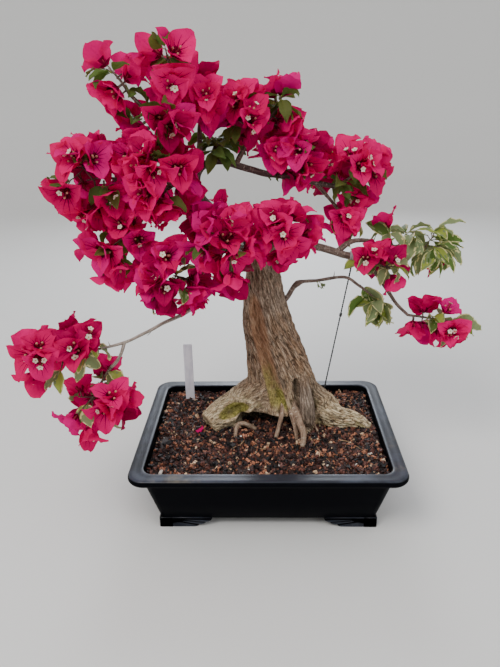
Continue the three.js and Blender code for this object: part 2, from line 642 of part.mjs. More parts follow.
// Twigs and blades of one mass. Each piece aims at the next direction, deeper with every
// try. A blade or twig that would leave the mass's space, touch a limb or run into an
// earlier piece is skipped.
function growMass(mass, limb, obstacles) {
  const random = seeded(mass.seed);
  const start = limb.path.at(-1);
  const inside = limb.path.at(-2).clone().lerp(start, 0.5);
  const stemAt = (share) => start.clone().lerp(mass.heart, share);
  const knots = STEM.knots.map((share) => ({ at: stemAt(share), radius: STEM.radius }));
  const twigs = [{ from: inside, to: stemAt(STEM.overrun), radius: STEM.radius }];
  const blades = [];
  const taken = [];
  const free = (point) => inSpace(mass, point) && clearOf(obstacles, point)
    && taken.every((other) => other.distanceTo(point) > BLADE_SPACING);
  const offTwigs = (point) => twigs.every(({ from, to }) => distanceToLine(from, to, point) > BLADE_SPACING);
  for (const kind of Object.keys(KINDS)) {
    let placed = 0;
    for (let k = 0; k < mass[kind] * TRIES_PER_PIECE && placed < mass[kind]; k += 1) {
      const depth = Math.max(DEEPEST, SHALLOWEST - DEEPER_EACH_TRY * k);
      const aim = evenDirection(k, random).multiply(mass.reach).multiplyScalar(depth).add(mass.heart);
      const piece = placePiece(kind, aim, knots);
      if (piece) {
        const { twig } = piece;
        const wayOut = twig ? [0.4, 0.7, 1].map((share) => twig.from.clone().lerp(twig.base, share)) : [];
        const fits = (blade) => bladeSamples(blade).every((point) => free(point) && offTwigs(point));
        const fitting = piece.blades.filter(fits);
        if (fitting.length >= FEWEST_BLADES[kind] && wayOut.every(free)) {
          placed += 1;
          blades.push(...fitting);
          taken.push(...fitting.flatMap(bladeSamples));
          if (twig) {
            twigs.push(twig);
          }
          if (twig && twig.from.distanceTo(twig.base) > TWIG.longest) {
            const { from, base, radius } = twig;
            knots.push(...TWIG.knots.map((share) => ({ at: from.clone().lerp(base, share), radius })));
          }
        }
      }
    }
  }
  return { twigs, blades };
}

function fuse({ twigs, blades }) {
  const pieces = twigs.map(({ from, to, radius }) => tube([from, to], [radius, radius], TWIG_SIDES));
  return wasm.Manifold.union(pieces.concat(blades.map(bladeSolid)));
}

// Putting it together

const bonsai = new THREE.Group();

function addPart(name, solid, look) {
  const mesh = new THREE.Mesh(toGeometry(solid), new THREE.MeshStandardMaterial(look));
  mesh.name = name;
  bonsai.add(mesh);
}

addPart("pot", buildPot(), LOOKS.pot);
addPart("soil", buildSoil(), LOOKS.soil);
addPart("trunk", buildTrunk(0), LOOKS.bark);

const masses = MASSES.map((mass, k) => ({
  ...mass,
  heart: vector(mass.heart),
  reach: vector(mass.reach),
  seed: FIRST_SEED + SEED_STEP * k,
}));
for (const mass of masses) {
  mass.planes = planesAround(mass, masses);
}
const routes = routeLimbs(masses);

// The trunk and limbs so far, grown by the clearance: what comes later is cut clear of them.
const grown = new Map([["trunk", buildTrunk(GAP)]]);
for (const route of routes) {
  addPart(route.name, cutClear(limbSolid(route), grown.values()), LOOKS.bark);
  grown.set(route.name, limbSolid(route, GAP));
}

const stems = new Map();
for (const route of routes.filter(({ feeds }) => feeds)) {
  const mass = masses.find(({ name }) => name === route.feeds);
  stems.set(mass, { route, from: route.path.at(-1), to: mass.heart, radius: STEM.radius });
}
for (const mass of masses) {
  const otherStems = masses.filter((other) => other !== mass).map((other) => stems.get(other));
  const obstacles = routes.flatMap(limbSegments).concat(otherStems)
    .filter(({ from, to }) => outness(mass, from) < NEARBY || outness(mass, to) < NEARBY);
  const growth = growMass(mass, stems.get(mass).route, obstacles);
  const look = mass.blooms > mass.leaves / 2 ? LOOKS.bloom : LOOKS.leaf;
  addPart(mass.name, cutClear(fuse(growth), grown.values()), look);
}

const { width, thick, height } = LABEL;
const label = block(width, thick, height, LABEL.x, LABEL.y, SOIL_TOP + GAP + height / 2);
addPart("plant_label", label, LOOKS.label);

const wire = tube([vector(WIRE.top), vector(WIRE.foot)], [WIRE.radius, WIRE.radius], WIRE.sides);
addPart("guy_wire", cutClear(wire, [grown.get("bough_right"), grown.get("trunk")]), LOOKS.wire);

const box = new THREE.Box3().setFromObject(bonsai);
const middle = box.getCenter(new THREE.Vector3());
bonsai.position.set(-middle.x, -middle.y, -box.min.z);

export default bonsai;
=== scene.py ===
"""Looks of the bougainvillea bonsai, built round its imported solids.

Sizes are in millimetres in the plant's own frame, as in the part's source: the middle of
the pot is x = y = 0, the surface that it stands on is z = 0, and the front is towards -Y.
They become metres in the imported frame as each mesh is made.
"""

import json
import math

import bpy
import numpy as np
from mathutils import Matrix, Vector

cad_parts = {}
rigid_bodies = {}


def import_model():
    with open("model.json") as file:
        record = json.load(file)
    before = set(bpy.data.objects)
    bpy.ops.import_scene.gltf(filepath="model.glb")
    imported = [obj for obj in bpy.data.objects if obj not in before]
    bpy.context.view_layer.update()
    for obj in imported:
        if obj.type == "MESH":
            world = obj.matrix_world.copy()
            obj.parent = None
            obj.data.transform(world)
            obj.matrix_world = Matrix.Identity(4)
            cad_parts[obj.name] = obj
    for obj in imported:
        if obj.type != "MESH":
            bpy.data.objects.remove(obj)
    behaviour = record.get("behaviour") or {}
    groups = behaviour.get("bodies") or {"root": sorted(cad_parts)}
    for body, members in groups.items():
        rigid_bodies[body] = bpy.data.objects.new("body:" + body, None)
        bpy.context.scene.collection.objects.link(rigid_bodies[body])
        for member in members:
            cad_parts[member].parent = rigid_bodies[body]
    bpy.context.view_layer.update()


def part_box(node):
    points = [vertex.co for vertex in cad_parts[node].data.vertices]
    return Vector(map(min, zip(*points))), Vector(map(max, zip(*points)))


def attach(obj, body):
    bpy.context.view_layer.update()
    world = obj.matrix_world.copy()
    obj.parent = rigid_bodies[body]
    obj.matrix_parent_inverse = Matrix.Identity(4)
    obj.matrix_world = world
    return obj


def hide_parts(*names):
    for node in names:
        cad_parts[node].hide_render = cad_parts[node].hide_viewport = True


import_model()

MM = 0.001
pot_low, pot_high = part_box("pot")
SHIFT = np.array([(pot_low.x + pot_high.x) / 2, (pot_low.y + pot_high.y) / 2, 0.0])

# Camera, as solved from the pot's corners in the photograph.
CAMERA_AT = (-1.50, -871.38, 632.97)
CAMERA_AHEAD = (-0.02598, 0.92383, -0.38192)
CAMERA_ROLL = -0.97
FOCAL_PIXELS = 605
FRAME_HEIGHT = 667
SENSOR = 36

# Pot and soil, as in the part's source.
RIM_HALF = np.array([205.0, 160.0])
RIM_CORNER = 26
SMALLEST_CORNER = 6
CORNER_SHRINK = 0.45
CORNER_STEPS = 14
FLOOR_Z = 14
SOIL_TOP = 100
LUMPS = {"spacing": 28, "count_x": 7, "count_y": 5, "high": 0.8, "low": 3.6, "seed": 5}
# Where the soil stays level, under the trunk and the label: middle and half size.
FIRM = [((24, 45), (112, 92)), ((-140, 105), (30, 30))]
FOOT = {"length_x": 82, "length_y": 62, "thick": 20, "sunk": 3, "inset": 38}

# The pot's skin from the middle of its underside, out over the lip and down inside:
# distance inside the rim's edge, and height.
POT_PROFILE = [
    (60, 14), (44, 14), (41.5, 14.6), (39.6, 16.6), (30.4, 50), (21, 84), (18.6, 91), (17.6, 92),
    (17.4, 96), (15.6, 98), (6, 98.4), (3, 98.8), (1.2, 100), (0.2, 102), (0, 104), (0.2, 106.4),
    (1.1, 108.4), (2.8, 109.7), (5, 110), (9, 109.6), (16, 109.6), (19.6, 109.9), (21.2, 109.3),
    (22.3, 107.6), (22.9, 104), (23.6, 98), (25.4, 90), (30, 70),
]

# Trunk, roots and limbs, as in the part's source.
TRUNK_Y = 45
TRUNK_LEVELS = np.array([
    # z, x, half size along x, half size along y
    (96, 24, 92, 66), (112, 22, 82, 60), (130, 22, 70, 54), (152, 25, 61, 50), (182, 25, 55, 46),
    (224, 16, 48, 41), (271, 2, 41, 36), (317, -4, 34, 30), (360, -5, 27, 24), (388, -8, 22, 20),
    (406, -12, 14, 13),
], float)
FLUTES = {"count": 5, "depth": 0.09, "twist": 0.03, "fade": 320}
ROOTS = [
    # points on its path, radius at its start and its end
    ([(48, 42, 150), (92, 37, 122), (114, 20, 112), (143, 19, 107), (173, 8, 99)], (34, 8)),
    ([(0, 42, 150), (-46, 36, 124), (-76, 22, 116), (-98, 8, 106)], (40, 19)),
    ([(58, 20, 196), (63, 2, 160), (64, -10, 128), (63, -14, 98)], (6, 12)),
    ([(30, 14, 158), (23, -12, 132), (14, -28, 98)], (6, 3.5)),
    ([(40, 12, 150), (51, -18, 130), (58, -38, 114), (55, -52, 98)], (9, 4.5)),
    ([(-19, 4, 98), (-34, 0, 114), (-47, 2, 117), (-52, -22, 98)], (5, 4)),
    ([(20, 84, 150), (2, 104, 122), (-14, 122, 98)], (26, 10)),
]
CHANNEL = {
    "via": [
        (-32, 8, 352), (-21, 10, 304), (-12, 6, 258), (-5, 1, 223), (3, -4, 190), (14, -12, 156),
        (24, -24, 128),
    ],
    "radius": (14, 19),
}
HOLLOW = {"heart": (-58, -1, 136), "half": (33, 14, 14), "lean": 0.34, "turn": 0.19}
MAIN_LIMBS = {
    # parent, mass that the tip feeds, radius at the start and the end, points on its path
    "bough_arch_rise": ("trunk", None, (10.5, 7.5),
        [(-14, 45, 380), (-33, 45, 404), (-76, 45, 451), (-99, 48, 477), (-108, 50, 496)]),
    "bough_arch_over": ("bough_arch_rise", "bloom_right_end", (7, 4),
        [(-107, 50, 490), (-103, 55, 510), (-88, 60, 523), (-62, 64, 526), (-20, 72, 511), (53, 80, 495),
         (112, 90, 482)]),
    "bough_right": ("trunk", "bloom_right_cut", (8, 5.2),
        [(-6, 45, 388), (26, 45, 411), (60, 45, 404), (99, 48, 392), (148, 53, 376)]),
    "bough_right_drop": ("bough_right", "bloom_right_tip", (3.8, 2.4),
        [(144, 53, 377), (164, 55, 363), (186, 58, 335), (210, 60, 300), (231, 60, 279)]),
    "bough_low_right": ("trunk", "leaves_right_hang", (4.8, 2.4),
        [(6, 44, 296), (31, 44, 315), (49, 40, 341), (80, 36, 347), (122, 35, 352), (146, 42, 336)]),
    "bough_low_left": ("trunk", "bloom_low_left_mid", (4.6, 2.4),
        [(-16, 42, 380), (-71, 10, 349), (-114, -30, 323), (-150, -62, 315), (-197, -105, 304),
         (-236, -122, 300)]),
}
SIDE_LIMBS = {
    # parent, share of the parent's length or starting point, mass that the tip feeds, lift
    "bough_low_left_drop": ("bough_low_left", 0.8, "bloom_low_left_low", -6),
    "bough_left_rise": ("bough_arch_rise", 0.8, "bloom_left_inner", 8),
    "bough_left": ("bough_left_rise", 0.55, "bloom_left", 14),
    "bough_leader": ("bough_arch_rise", 0.95, "bloom_upper_left", 4),
    "bough_top_left": ("bough_leader", 0.5, "bloom_top_left", 6),
    "bough_top_right": ("bough_leader", 0.8, "bloom_top_right", 6),
    "bough_crown_left": ("bough_arch_over", 0.2, "bloom_crown_left", 6),
    "bough_crown_mid": ("bough_arch_over", 0.42, "bloom_crown_mid", 6),
    "bough_crown_right": ("bough_arch_over", 0.58, "bloom_crown_right", 8),
    "bough_right_upper": ("bough_arch_over", 0.72, "bloom_right_upper", 2),
    "bough_right_under": ("bough_arch_over", 0.9, "bloom_right_under", 0),
    "bough_right_back": ("bough_right", 0.8, "leaves_right", 14),
    "bough_left_hang": ("bough_left_rise", 0.35, "bloom_left_hang", 22),
    "bough_lower_left": ("bough_low_left", 0.25, "bloom_lower_left", 12),
    "bough_centre_front": ("trunk", (-14, 36, 388), "bloom_centre_front", 6),
    "bough_centre_right": ("trunk", (-4, 36, 392), "bloom_centre_right", 4),
    "bough_inner": ("bough_arch_over", 0.12, "leaves_inner", 3),
    "bough_back_left": ("bough_arch_rise", 0.7, "bloom_back_left", 14),
    "bough_back_low": ("trunk", (-10, 58, 372), "bloom_back_low", 14),
    "bough_back_top": ("bough_arch_over", 0.36, "bloom_back_top", 10),
    "bough_back_right": ("bough_arch_over", 0.8, "bloom_back_right", 10),
}
MAIN_STEPS = 2
SIDE = {"thinning": 0.8, "taper": 0.55, "tip": 2.4, "from_trunk": 6.5}
ENTRY = 0.72
DEEPEST_ENTRY = 0.6
FINE_STEPS = 14

# Masses, as in the part's source: heart, reach, flower clusters and leaves.
MASSES = {
    "bloom_top_left": ((-203, -10, 652), (54, 50, 50), 4, 2),
    "bloom_top_right": ((-128, 0, 666), (50, 50, 56), 4, 2),
    "bloom_upper_left": ((-150, 0, 596), (62, 58, 52), 5, 3),
    "bloom_left": ((-243, -20, 512), (72, 64, 68), 8, 4),
    "bloom_left_inner": ((-145, -28, 512), (68, 62, 74), 8, 2),
    "bloom_left_hang": ((-220, -26, 420), (62, 54, 62), 6, 4),
    "bloom_lower_left": ((-128, -52, 382), (64, 58, 64), 7, 3),
    "bloom_centre_front": ((-64, -46, 420), (70, 58, 68), 8, 3),
    "bloom_centre_right": ((27, -22, 440), (60, 54, 56), 6, 2),
    "bloom_crown_left": ((-90, 46, 624), (58, 58, 50), 5, 2),
    "bloom_crown_mid": ((-30, 58, 594), (56, 58, 52), 5, 2),
    "bloom_crown_right": ((22, 72, 606), (48, 56, 52), 4, 3),
    "bloom_right_upper": ((44, 78, 528), (60, 60, 54), 6, 3),
    "bloom_right_end": ((142, 98, 502), (66, 56, 62), 6, 4),
    "bloom_right_under": ((134, 94, 424), (48, 50, 50), 3, 3),
    "leaves_right": ((240, 120, 386), (98, 72, 60), 3, 16),
    "bloom_right_cut": ((190, 42, 364), (64, 52, 50), 4, 3),
    "leaves_right_hang": ((178, 52, 304), (48, 44, 46), 0, 8),
    "bloom_right_tip": ((292, 60, 270), (72, 54, 46), 6, 6),
    "bloom_low_left_mid": ((-280, -135, 290), (80, 60, 60), 7, 4),
    "bloom_low_left_low": ((-243, -130, 228), (76, 60, 74), 7, 5),
    "leaves_inner": ((-68, 62, 552), (62, 56, 44), 0, 9),
    "bloom_back_left": ((-183, 108, 520), (68, 60, 62), 4, 4),
    "bloom_back_low": ((-70, 126, 420), (64, 60, 54), 4, 3),
    "bloom_back_top": ((-34, 152, 588), (60, 56, 50), 4, 4),
    "bloom_back_right": ((112, 184, 500), (62, 58, 56), 4, 3),
}
FIRST_SEED = 1201
SEED_STEP = 97
TRIES_PER_PIECE = 240
SHALLOWEST = 0.97
DEEPEST = 0.45
DEEPER_EACH_TRY = 0.0005
LIMB_CLEARANCE = 1.5
CELL_MARGIN = 0.6
NEARBY = 1.6
BRACT = {"length": 46, "width": 40, "fold": 2.8, "near": (0.22, 0.74), "far": (0.6, 0.88)}
LEAF = {"length": 44, "width": 25, "fold": 2, "near": (0.25, 0.8), "far": (0.62, 0.8)}
BRACT_TILT = 0.9
LEAF_ROLL = 0.3
STEM = {"radius": 2.8, "knots": (0.15, 0.4, 0.65, 0.9), "overrun": 1.1}
TWIG = {"thinning": 0.5, "thinnest": 0.8, "knots": (0.4, 0.75), "longest": 14}
SHORTEST_TWIG = {"blooms": 5, "leaves": 12}
FEWEST_BLADES = {"blooms": 2, "leaves": 1}
PLASTIC = 1.324717957244746

# The rule's own pieces come first, as in the source, and then finer ones between them.
# "give" is how far past the planes between masses a piece may reach.
SOURCE_ROUND = {
    "size": 1, "spacing": 5.5, "give": 0, "share": {"blooms": 1, "leaves": 1}, "skip": 0,
}
FINER_ROUND = {
    "size": 0.9, "spacing": 1.4, "give": 12, "share": {"blooms": 3.0, "leaves": 1.3}, "skip": 5000,
}

# Share of the finer clusters in the masses that the photo shows open.
FULLNESS = {
    "bloom_top_left": 0.35, "bloom_top_right": 0.35, "bloom_upper_left": 0.5, "bloom_crown_left": 0.8,
    "bloom_crown_mid": 0.9, "bloom_crown_right": 0.7, "bloom_right_upper": 0.9, "bloom_right_end": 0.7,
    "bloom_right_under": 0.3, "bloom_right_cut": 0.3, "bloom_right_tip": 0.45, "bloom_low_left_mid": 0.4,
    "bloom_low_left_low": 0.45, "bloom_left_hang": 0.5, "bloom_centre_right": 0.75, "leaves_right": 0,
    "bloom_back_left": 0.6, "bloom_back_low": 0.6, "bloom_back_top": 0.6, "bloom_back_right": 0.6,
}

LABEL = {
    "x": -140, "y": 105, "width": 16, "thick": 1, "height": 109, "sunk": 6, "corner": 2.2,
    "bevel": 0.5, "bevel_deep": 0.25, "bow": 1.1, "curl": 0.02, "back": 0.6,
}
COLLAR = {
    "heart": (138, 53, 380), "along": (0.95, 0.1, -0.31), "radius": 5.6, "length": 16, "turns": 5,
    "thick": 2.1,
}
WIRE = {"top": (136, 49, 382), "foot": (94, 44, 134), "radius": 0.75, "turn": 7}
WIRE_KNOT = {"at": 96, "reach": 1.8, "turns": 2, "rise": 0.35, "thick": 0.9}

UP = np.array([0.0, 0.0, 1.0])


def to_metres(points):
    return np.asarray(points, float) * MM + SHIFT


def unit(vectors):
    return vectors / np.linalg.norm(vectors, axis=-1, keepdims=True)


def smoothstep(low, high, value):
    share = np.clip((value - low) / (high - low), 0, 1)
    return share * share * (3 - 2 * share)


def seeded(seed):
    """The source's row of numbers between 0 and 1, the same for the same seed."""
    state = seed
    while True:
        state = (state * 1664525 + 1013904223) % 4294967296
        yield state / 4294967296


def lattice(cells, seed):
    """A number from 0 to 1 for each cell of a grid in space, scrambled from its place."""
    x, y, z = (cells[:, i].astype(np.uint64) for i in range(3))
    mixed = x * np.uint64(73856093) ^ y * np.uint64(19349663) ^ z * np.uint64(83492791)
    mixed = (mixed ^ np.uint64(seed * 2654435761)) * np.uint64(1274126177)
    mixed = (mixed ^ (mixed >> np.uint64(15))) * np.uint64(2246822519)
    return ((mixed >> np.uint64(13)) & np.uint64(0xFFFFFF)).astype(float) / 0xFFFFFF


def noise(points, seed):
    """Smooth noise from -1 to 1 with hills about one unit wide."""
    whole = np.floor(points).astype(np.int64)
    part = points - whole
    ease = part * part * (3 - 2 * part)
    total = np.zeros(len(points))
    for corner in np.ndindex(2, 2, 2):
        share = np.where(np.array(corner), ease, 1 - ease).prod(axis=1)
        total += share * lattice(whole + np.array(corner), seed)
    return 2 * total - 1


def layered(points, seed, layers=3):
    """Noise with ever finer noise on top."""
    return sum(noise(points * 2 ** k, seed + k) / 2 ** k for k in range(layers))


# Meshes


class Joined:
    """Many small shapes joined into one mesh, with a shade number for every face."""

    def __init__(self):
        self.points, self.faces, self.shades, self.grain, self.count = [], [], [], [], 0

    def add(self, points, faces, shades=0, grain=None):
        faces = np.asarray(faces)
        shades = np.broadcast_to(shades, len(faces))
        if faces.shape[1] == 4:
            faces = halved(faces)
            shades = np.concatenate([shades, shades])
        self.points.append(np.asarray(points, float))
        self.faces.append(faces + self.count)
        self.shades.append(shades)
        if grain is not None:
            self.grain.append(grain)
        self.count += len(points)

    def piece(self, name, materials, slot, smooth=True):
        grain = np.concatenate(self.grain) if self.grain else None
        return piece(name, np.concatenate(self.points), np.concatenate(self.faces), materials,
                     shades=np.concatenate(self.shades), smooth=smooth, vectors={"grain": grain})


def show(name, data):
    shown = bpy.data.objects.new(name, data)
    bpy.context.scene.collection.objects.link(shown)
    return shown


def piece(name, points, faces, materials, shades=None, smooth=True, vectors=None, numbers=None):
    """One shown mesh. vectors and numbers are values for each of its points, by name."""
    mesh = bpy.data.meshes.new(name)
    mesh.from_pydata(to_metres(points).tolist(), [], np.asarray(faces).tolist())
    for material in materials:
        mesh.materials.append(material)
    if shades is not None:
        mesh.polygons.foreach_set("material_index", np.asarray(shades, np.int32))
    mesh.polygons.foreach_set("use_smooth", np.full(len(mesh.polygons), smooth))
    for label, values in (vectors or {}).items():
        if values is not None:
            layer = mesh.attributes.new(label, "FLOAT_VECTOR", "POINT")
            layer.data.foreach_set("vector", np.asarray(values, np.float32).ravel())
    for label, values in (numbers or {}).items():
        layer = mesh.attributes.new(label, "FLOAT", "POINT")
        layer.data.foreach_set("value", np.asarray(values, np.float32))
    mesh.update()
    shown = show(name, mesh)
    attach(shown, "root")
    return shown


def ring_faces(rings, count, closed=True):
    """Four-cornered faces between rings that all have the same number of points."""
    here = np.arange(rings - 1)[:, None] * count + np.arange(count if closed else count - 1)
    next_over = np.roll(here, -1, axis=1) if closed else here + 1
    return np.stack([here, next_over, next_over + count, here + count], axis=-1).reshape(-1, 4)


def halved(faces):
    """Four-cornered faces cut into three-cornered ones."""
    return np.concatenate([faces[:, [0, 1, 2]], faces[:, [0, 2, 3]]])


def repeated(faces, step, count):
    """The same faces again for each of many shapes that have step points."""
    return (faces[None] + step * np.arange(count)[:, None, None]).reshape(-1, 4)


def closed(rings, ends=None):
    """A skin over rings, closed by a fan at either end: its points and faces."""
    count = rings.shape[1]
    ends = (rings[0].mean(axis=0), rings[-1].mean(axis=0)) if ends is None else ends
    points = np.vstack([rings.reshape(-1, 3), *ends])
    fan = np.arange(count)
    first = np.stack([np.roll(fan, -1), fan, np.full(count, len(points) - 2)], axis=1)
    last = np.stack([fan, np.roll(fan, -1), np.full(count, len(points) - 1)], axis=1)
    last[:, :2] += (len(rings) - 1) * count
    return points, np.concatenate([halved(ring_faces(len(rings), count)), first, last])


def length_along(path):
    """How far along a path each of its points lies."""
    return np.concatenate([[0], np.cumsum(np.linalg.norm(np.diff(path, axis=0), axis=1))])


def smooth_path(points, steps):
    """The source's smooth curve through a few points, in even steps between them."""
    points = np.asarray(points, float)
    padded = np.vstack([2 * points[0] - points[1], points, 2 * points[-1] - points[-2]])
    along = np.linspace(0, len(points) - 1, (len(points) - 1) * steps + 1)
    k = np.minimum(along.astype(int), len(points) - 2)
    w = (along - k)[:, None]
    before, here, after, beyond = (padded[k + i] for i in range(4))
    leaving, arriving = (after - before) / 2, (beyond - here) / 2
    return (here + w * leaving + w ** 2 * (3 * (after - here) - 2 * leaving - arriving)
            + w ** 3 * (2 * (here - after) + leaving + arriving))


def square_to(axis):
    """Two directions square to an axis and to each other."""
    rough = UP if abs(axis[2]) < 0.9 else np.array([1.0, 0.0, 0.0])
    first = unit(rough - axis * rough.dot(axis))
    return first, np.cross(axis, first)


def spokes_along(path):
    """Two directions square to a path at each of its points."""
    along = unit(np.vstack([path[1] - path[0], path[2:] - path[:-2], path[-1] - path[-2]]))
    across = np.empty_like(path)
    across[0] = square_to(along[0])[0]
    for k in range(1, len(path)):
        across[k] = unit(across[k - 1] - along[k] * across[k - 1].dot(along[k]))
    return across, np.cross(along, across)


def tube(path, radii, sides, bumps=None):
    """Round tube with closed ends: its points, faces, and where its bark's grain runs.
    bumps gives each point its own share of the radius, from grain coordinates."""
    path = np.asarray(path, float)
    radii = np.broadcast_to(radii, len(path)).astype(float)
    across, up = spokes_along(path)
    turn = np.linspace(0, 2 * np.pi, sides, endpoint=False)
    spokes = across[:, None] * np.cos(turn)[:, None] + up[:, None] * np.sin(turn)[:, None]
    length = length_along(path)
    size = radii.mean()
    offset = path[0].sum()
    grain = np.stack([
        np.broadcast_to(size * np.cos(turn), (len(path), sides)),
        np.broadcast_to(size * np.sin(turn), (len(path), sides)),
        np.broadcast_to(length[:, None] + offset, (len(path), sides)),
    ], axis=-1).reshape(-1, 3)
    share = np.ones(len(grain)) if bumps is None else bumps(grain)
    reach = (radii[:, None] * share.reshape(len(path), sides))[..., None]
    points, faces = closed(path[:, None] + spokes * reach, (path[0], path[-1]))
    grain = np.vstack([grain, [0, 0, offset], [0, 0, offset + length[-1]]])
    return points, faces, grain


def with_grain(shape):
    """A tube as Joined.add takes it, with its grain."""
    points, faces, grain = shape
    return points, faces, 0, grain


def wound(middle, first, second, reach, turn):
    """Points that wind round a middle line at the distance reach."""
    return middle + first * (reach * np.cos(turn))[:, None] + second * (reach * np.sin(turn))[:, None]


# Materials


class Nodes:
    """Short ways to add shader nodes to a material."""

    def __init__(self, name):
        self.material = bpy.data.materials.new(name)
        self.material.use_nodes = True
        self.tree = self.material.node_tree
        self.shader = self.tree.nodes["Principled BSDF"]
        self.output = self.tree.nodes["Material Output"]

    def add(self, kind, **settings):
        node = self.tree.nodes.new(kind)
        for key, value in settings.items():
            setattr(node, key, value)
        return node

    def feed(self, socket, value):
        """Links another node's output to a socket, or sets the socket's plain value."""
        if isinstance(value, bpy.types.NodeSocket):
            self.tree.links.new(value, socket)
        else:
            socket.default_value = (*value, 1) if socket.type == "RGBA" else value

    def fill(self, node, **inputs):
        """Feeds a node's inputs by their names, with _ for a space."""
        for key, value in inputs.items():
            self.feed(node.inputs[key.replace("_", " ")], value)
        return node

    def place(self, attribute=None, stretch=(1, 1, 1)):
        """Where a pattern lies: the object's own coordinates, or the mesh's by name."""
        if attribute:
            source = self.add("ShaderNodeAttribute", attribute_name=attribute).outputs["Vector"]
        else:
            source = self.add("ShaderNodeTexCoord").outputs["Object"]
        return self.fill(self.add("ShaderNodeMapping"), Vector=source, Scale=stretch).outputs["Vector"]

    def number(self, attribute):
        return self.add("ShaderNodeAttribute", attribute_name=attribute).outputs["Fac"]

    def noise(self, where, scale, detail=4, roughness=0.55):
        node = self.add("ShaderNodeTexNoise")
        self.fill(node, Vector=where, Scale=scale, Detail=detail, Roughness=roughness)
        return node.outputs["Fac"]

    def ramp(self, value, stops):
        """A colour for each value, between stops of a position and its colour."""
        node = self.fill(self.add("ShaderNodeValToRGB"), Fac=value)
        marks = node.color_ramp.elements
        while len(marks) < len(stops):
            marks.new(0.5)
        for mark, (position, colour) in zip(marks, stops):
            mark.position = position
            mark.color = (*colour, 1)
        return node.outputs["Color"]

    def fade(self, value, low, high):
        """0 at low, 1 at high, with soft ends."""
        node = self.add("ShaderNodeMapRange", interpolation_type="SMOOTHSTEP")
        return self.fill(node, Value=value, From_Min=low, From_Max=high).outputs["Result"]

    def span(self, value, low, high):
        """low where the value is 0, high where it is 1."""
        node = self.add("ShaderNodeMapRange")
        return self.fill(node, Value=value, To_Min=low, To_Max=high).outputs["Result"]

    def mix(self, share, a, b, way="MIX"):
        node = self.add("ShaderNodeMix", data_type="RGBA", blend_type=way)
        for k, value in ((0, share), (6, a), (7, b)):
            self.feed(node.inputs[k], value)
        return node.outputs[2]

    def maths(self, a, b, way="ADD"):
        node = self.add("ShaderNodeMath", operation=way)
        self.feed(node.inputs[0], a)
        self.feed(node.inputs[1], b)
        return node.outputs[0]

    def times(self, a, b):
        return self.maths(a, b, "MULTIPLY")

    def lines(self, where, width):
        """1 along the winding lines where a noise crosses its middle value, and 0 beside them."""
        winding = self.noise(where, 1, detail=3, roughness=0.5)
        away = self.maths(self.maths(winding, 0.5, "SUBTRACT"), 0, "ABSOLUTE")
        return self.fade(away, width, 0)

    def bump(self, height, strength, distance):
        node = self.add("ShaderNodeBump")
        self.fill(node, Height=height, Strength=strength, Distance=distance)
        self.fill(self.shader, Normal=node.outputs["Normal"])

    def finish(self, colour, roughness, **others):
        self.fill(self.shader, Base_Color=colour, Roughness=roughness, **others)
        return self.material


CRINKLE = 240
# Colours of the glaze: its own deep blue-black; a bluish grey for faces that look up, which is dust
# together with a painted sheen of reflected sky; and tan smudges of dust.
GLAZE = {"deep": (0.0028, 0.003, 0.0043), "dust_and_sheen": (0.057, 0.067, 0.097), "smudge": (0.22, 0.19, 0.14)}
# Colours of the bark from the bottom of its grain to the top: plain, and where it is worn bare,
# pale and golden, ashen or mossy.
BARK = {
    "plain": [
        (0.36, (0.055, 0.031, 0.02)), (0.43, (0.18, 0.108, 0.069)), (0.49, (0.32, 0.212, 0.142)),
        (0.56, (0.49, 0.355, 0.252)), (0.66, (0.72, 0.58, 0.44)),
    ],
    "bare": [(0.36, (0.14, 0.062, 0.034)), (0.5, (0.36, 0.19, 0.105)), (0.62, (0.54, 0.35, 0.22))],
    "pale": [
        (0.36, (0.15, 0.09, 0.045)), (0.44, (0.5, 0.36, 0.21)), (0.52, (0.82, 0.66, 0.42)),
        (0.64, (0.97, 0.87, 0.64)),
    ],
    "ashen": [(0.38, (0.065, 0.046, 0.033)), (0.5, (0.25, 0.188, 0.14)), (0.6, (0.48, 0.39, 0.31))],
    "moss": [(0.36, (0.08, 0.075, 0.014)), (0.5, (0.27, 0.24, 0.055)), (0.64, (0.52, 0.46, 0.15))],
}
BARK_WARMTH = (1.0, 0.82, 0.62)
BARK_SPLIT = (0.03, 0.017, 0.011)
BARK_SHADE = (0.018, 0.014, 0.007)
TWIG_JOINT = (0.42, 0.36, 0.3)


def papery(name, colour, through, roughness=0.6, share=0.25):
    """Thin plant tissue of one colour: some of the light comes through it."""
    n = Nodes(name)
    n.bump(n.noise(n.place(), CRINKLE, detail=4, roughness=0.6), 0.7, 0.0016)
    glow = n.fill(n.add("ShaderNodeBsdfTranslucent"), Color=through)
    both = n.fill(n.add("ShaderNodeMixShader"), Fac=share)
    n.feed(both.inputs[1], n.shader.outputs[0])
    n.feed(both.inputs[2], glow.outputs[0])
    n.fill(n.output, Surface=both.outputs[0])
    return n.finish(colour, roughness, Specular_IOR_Level=0.06)


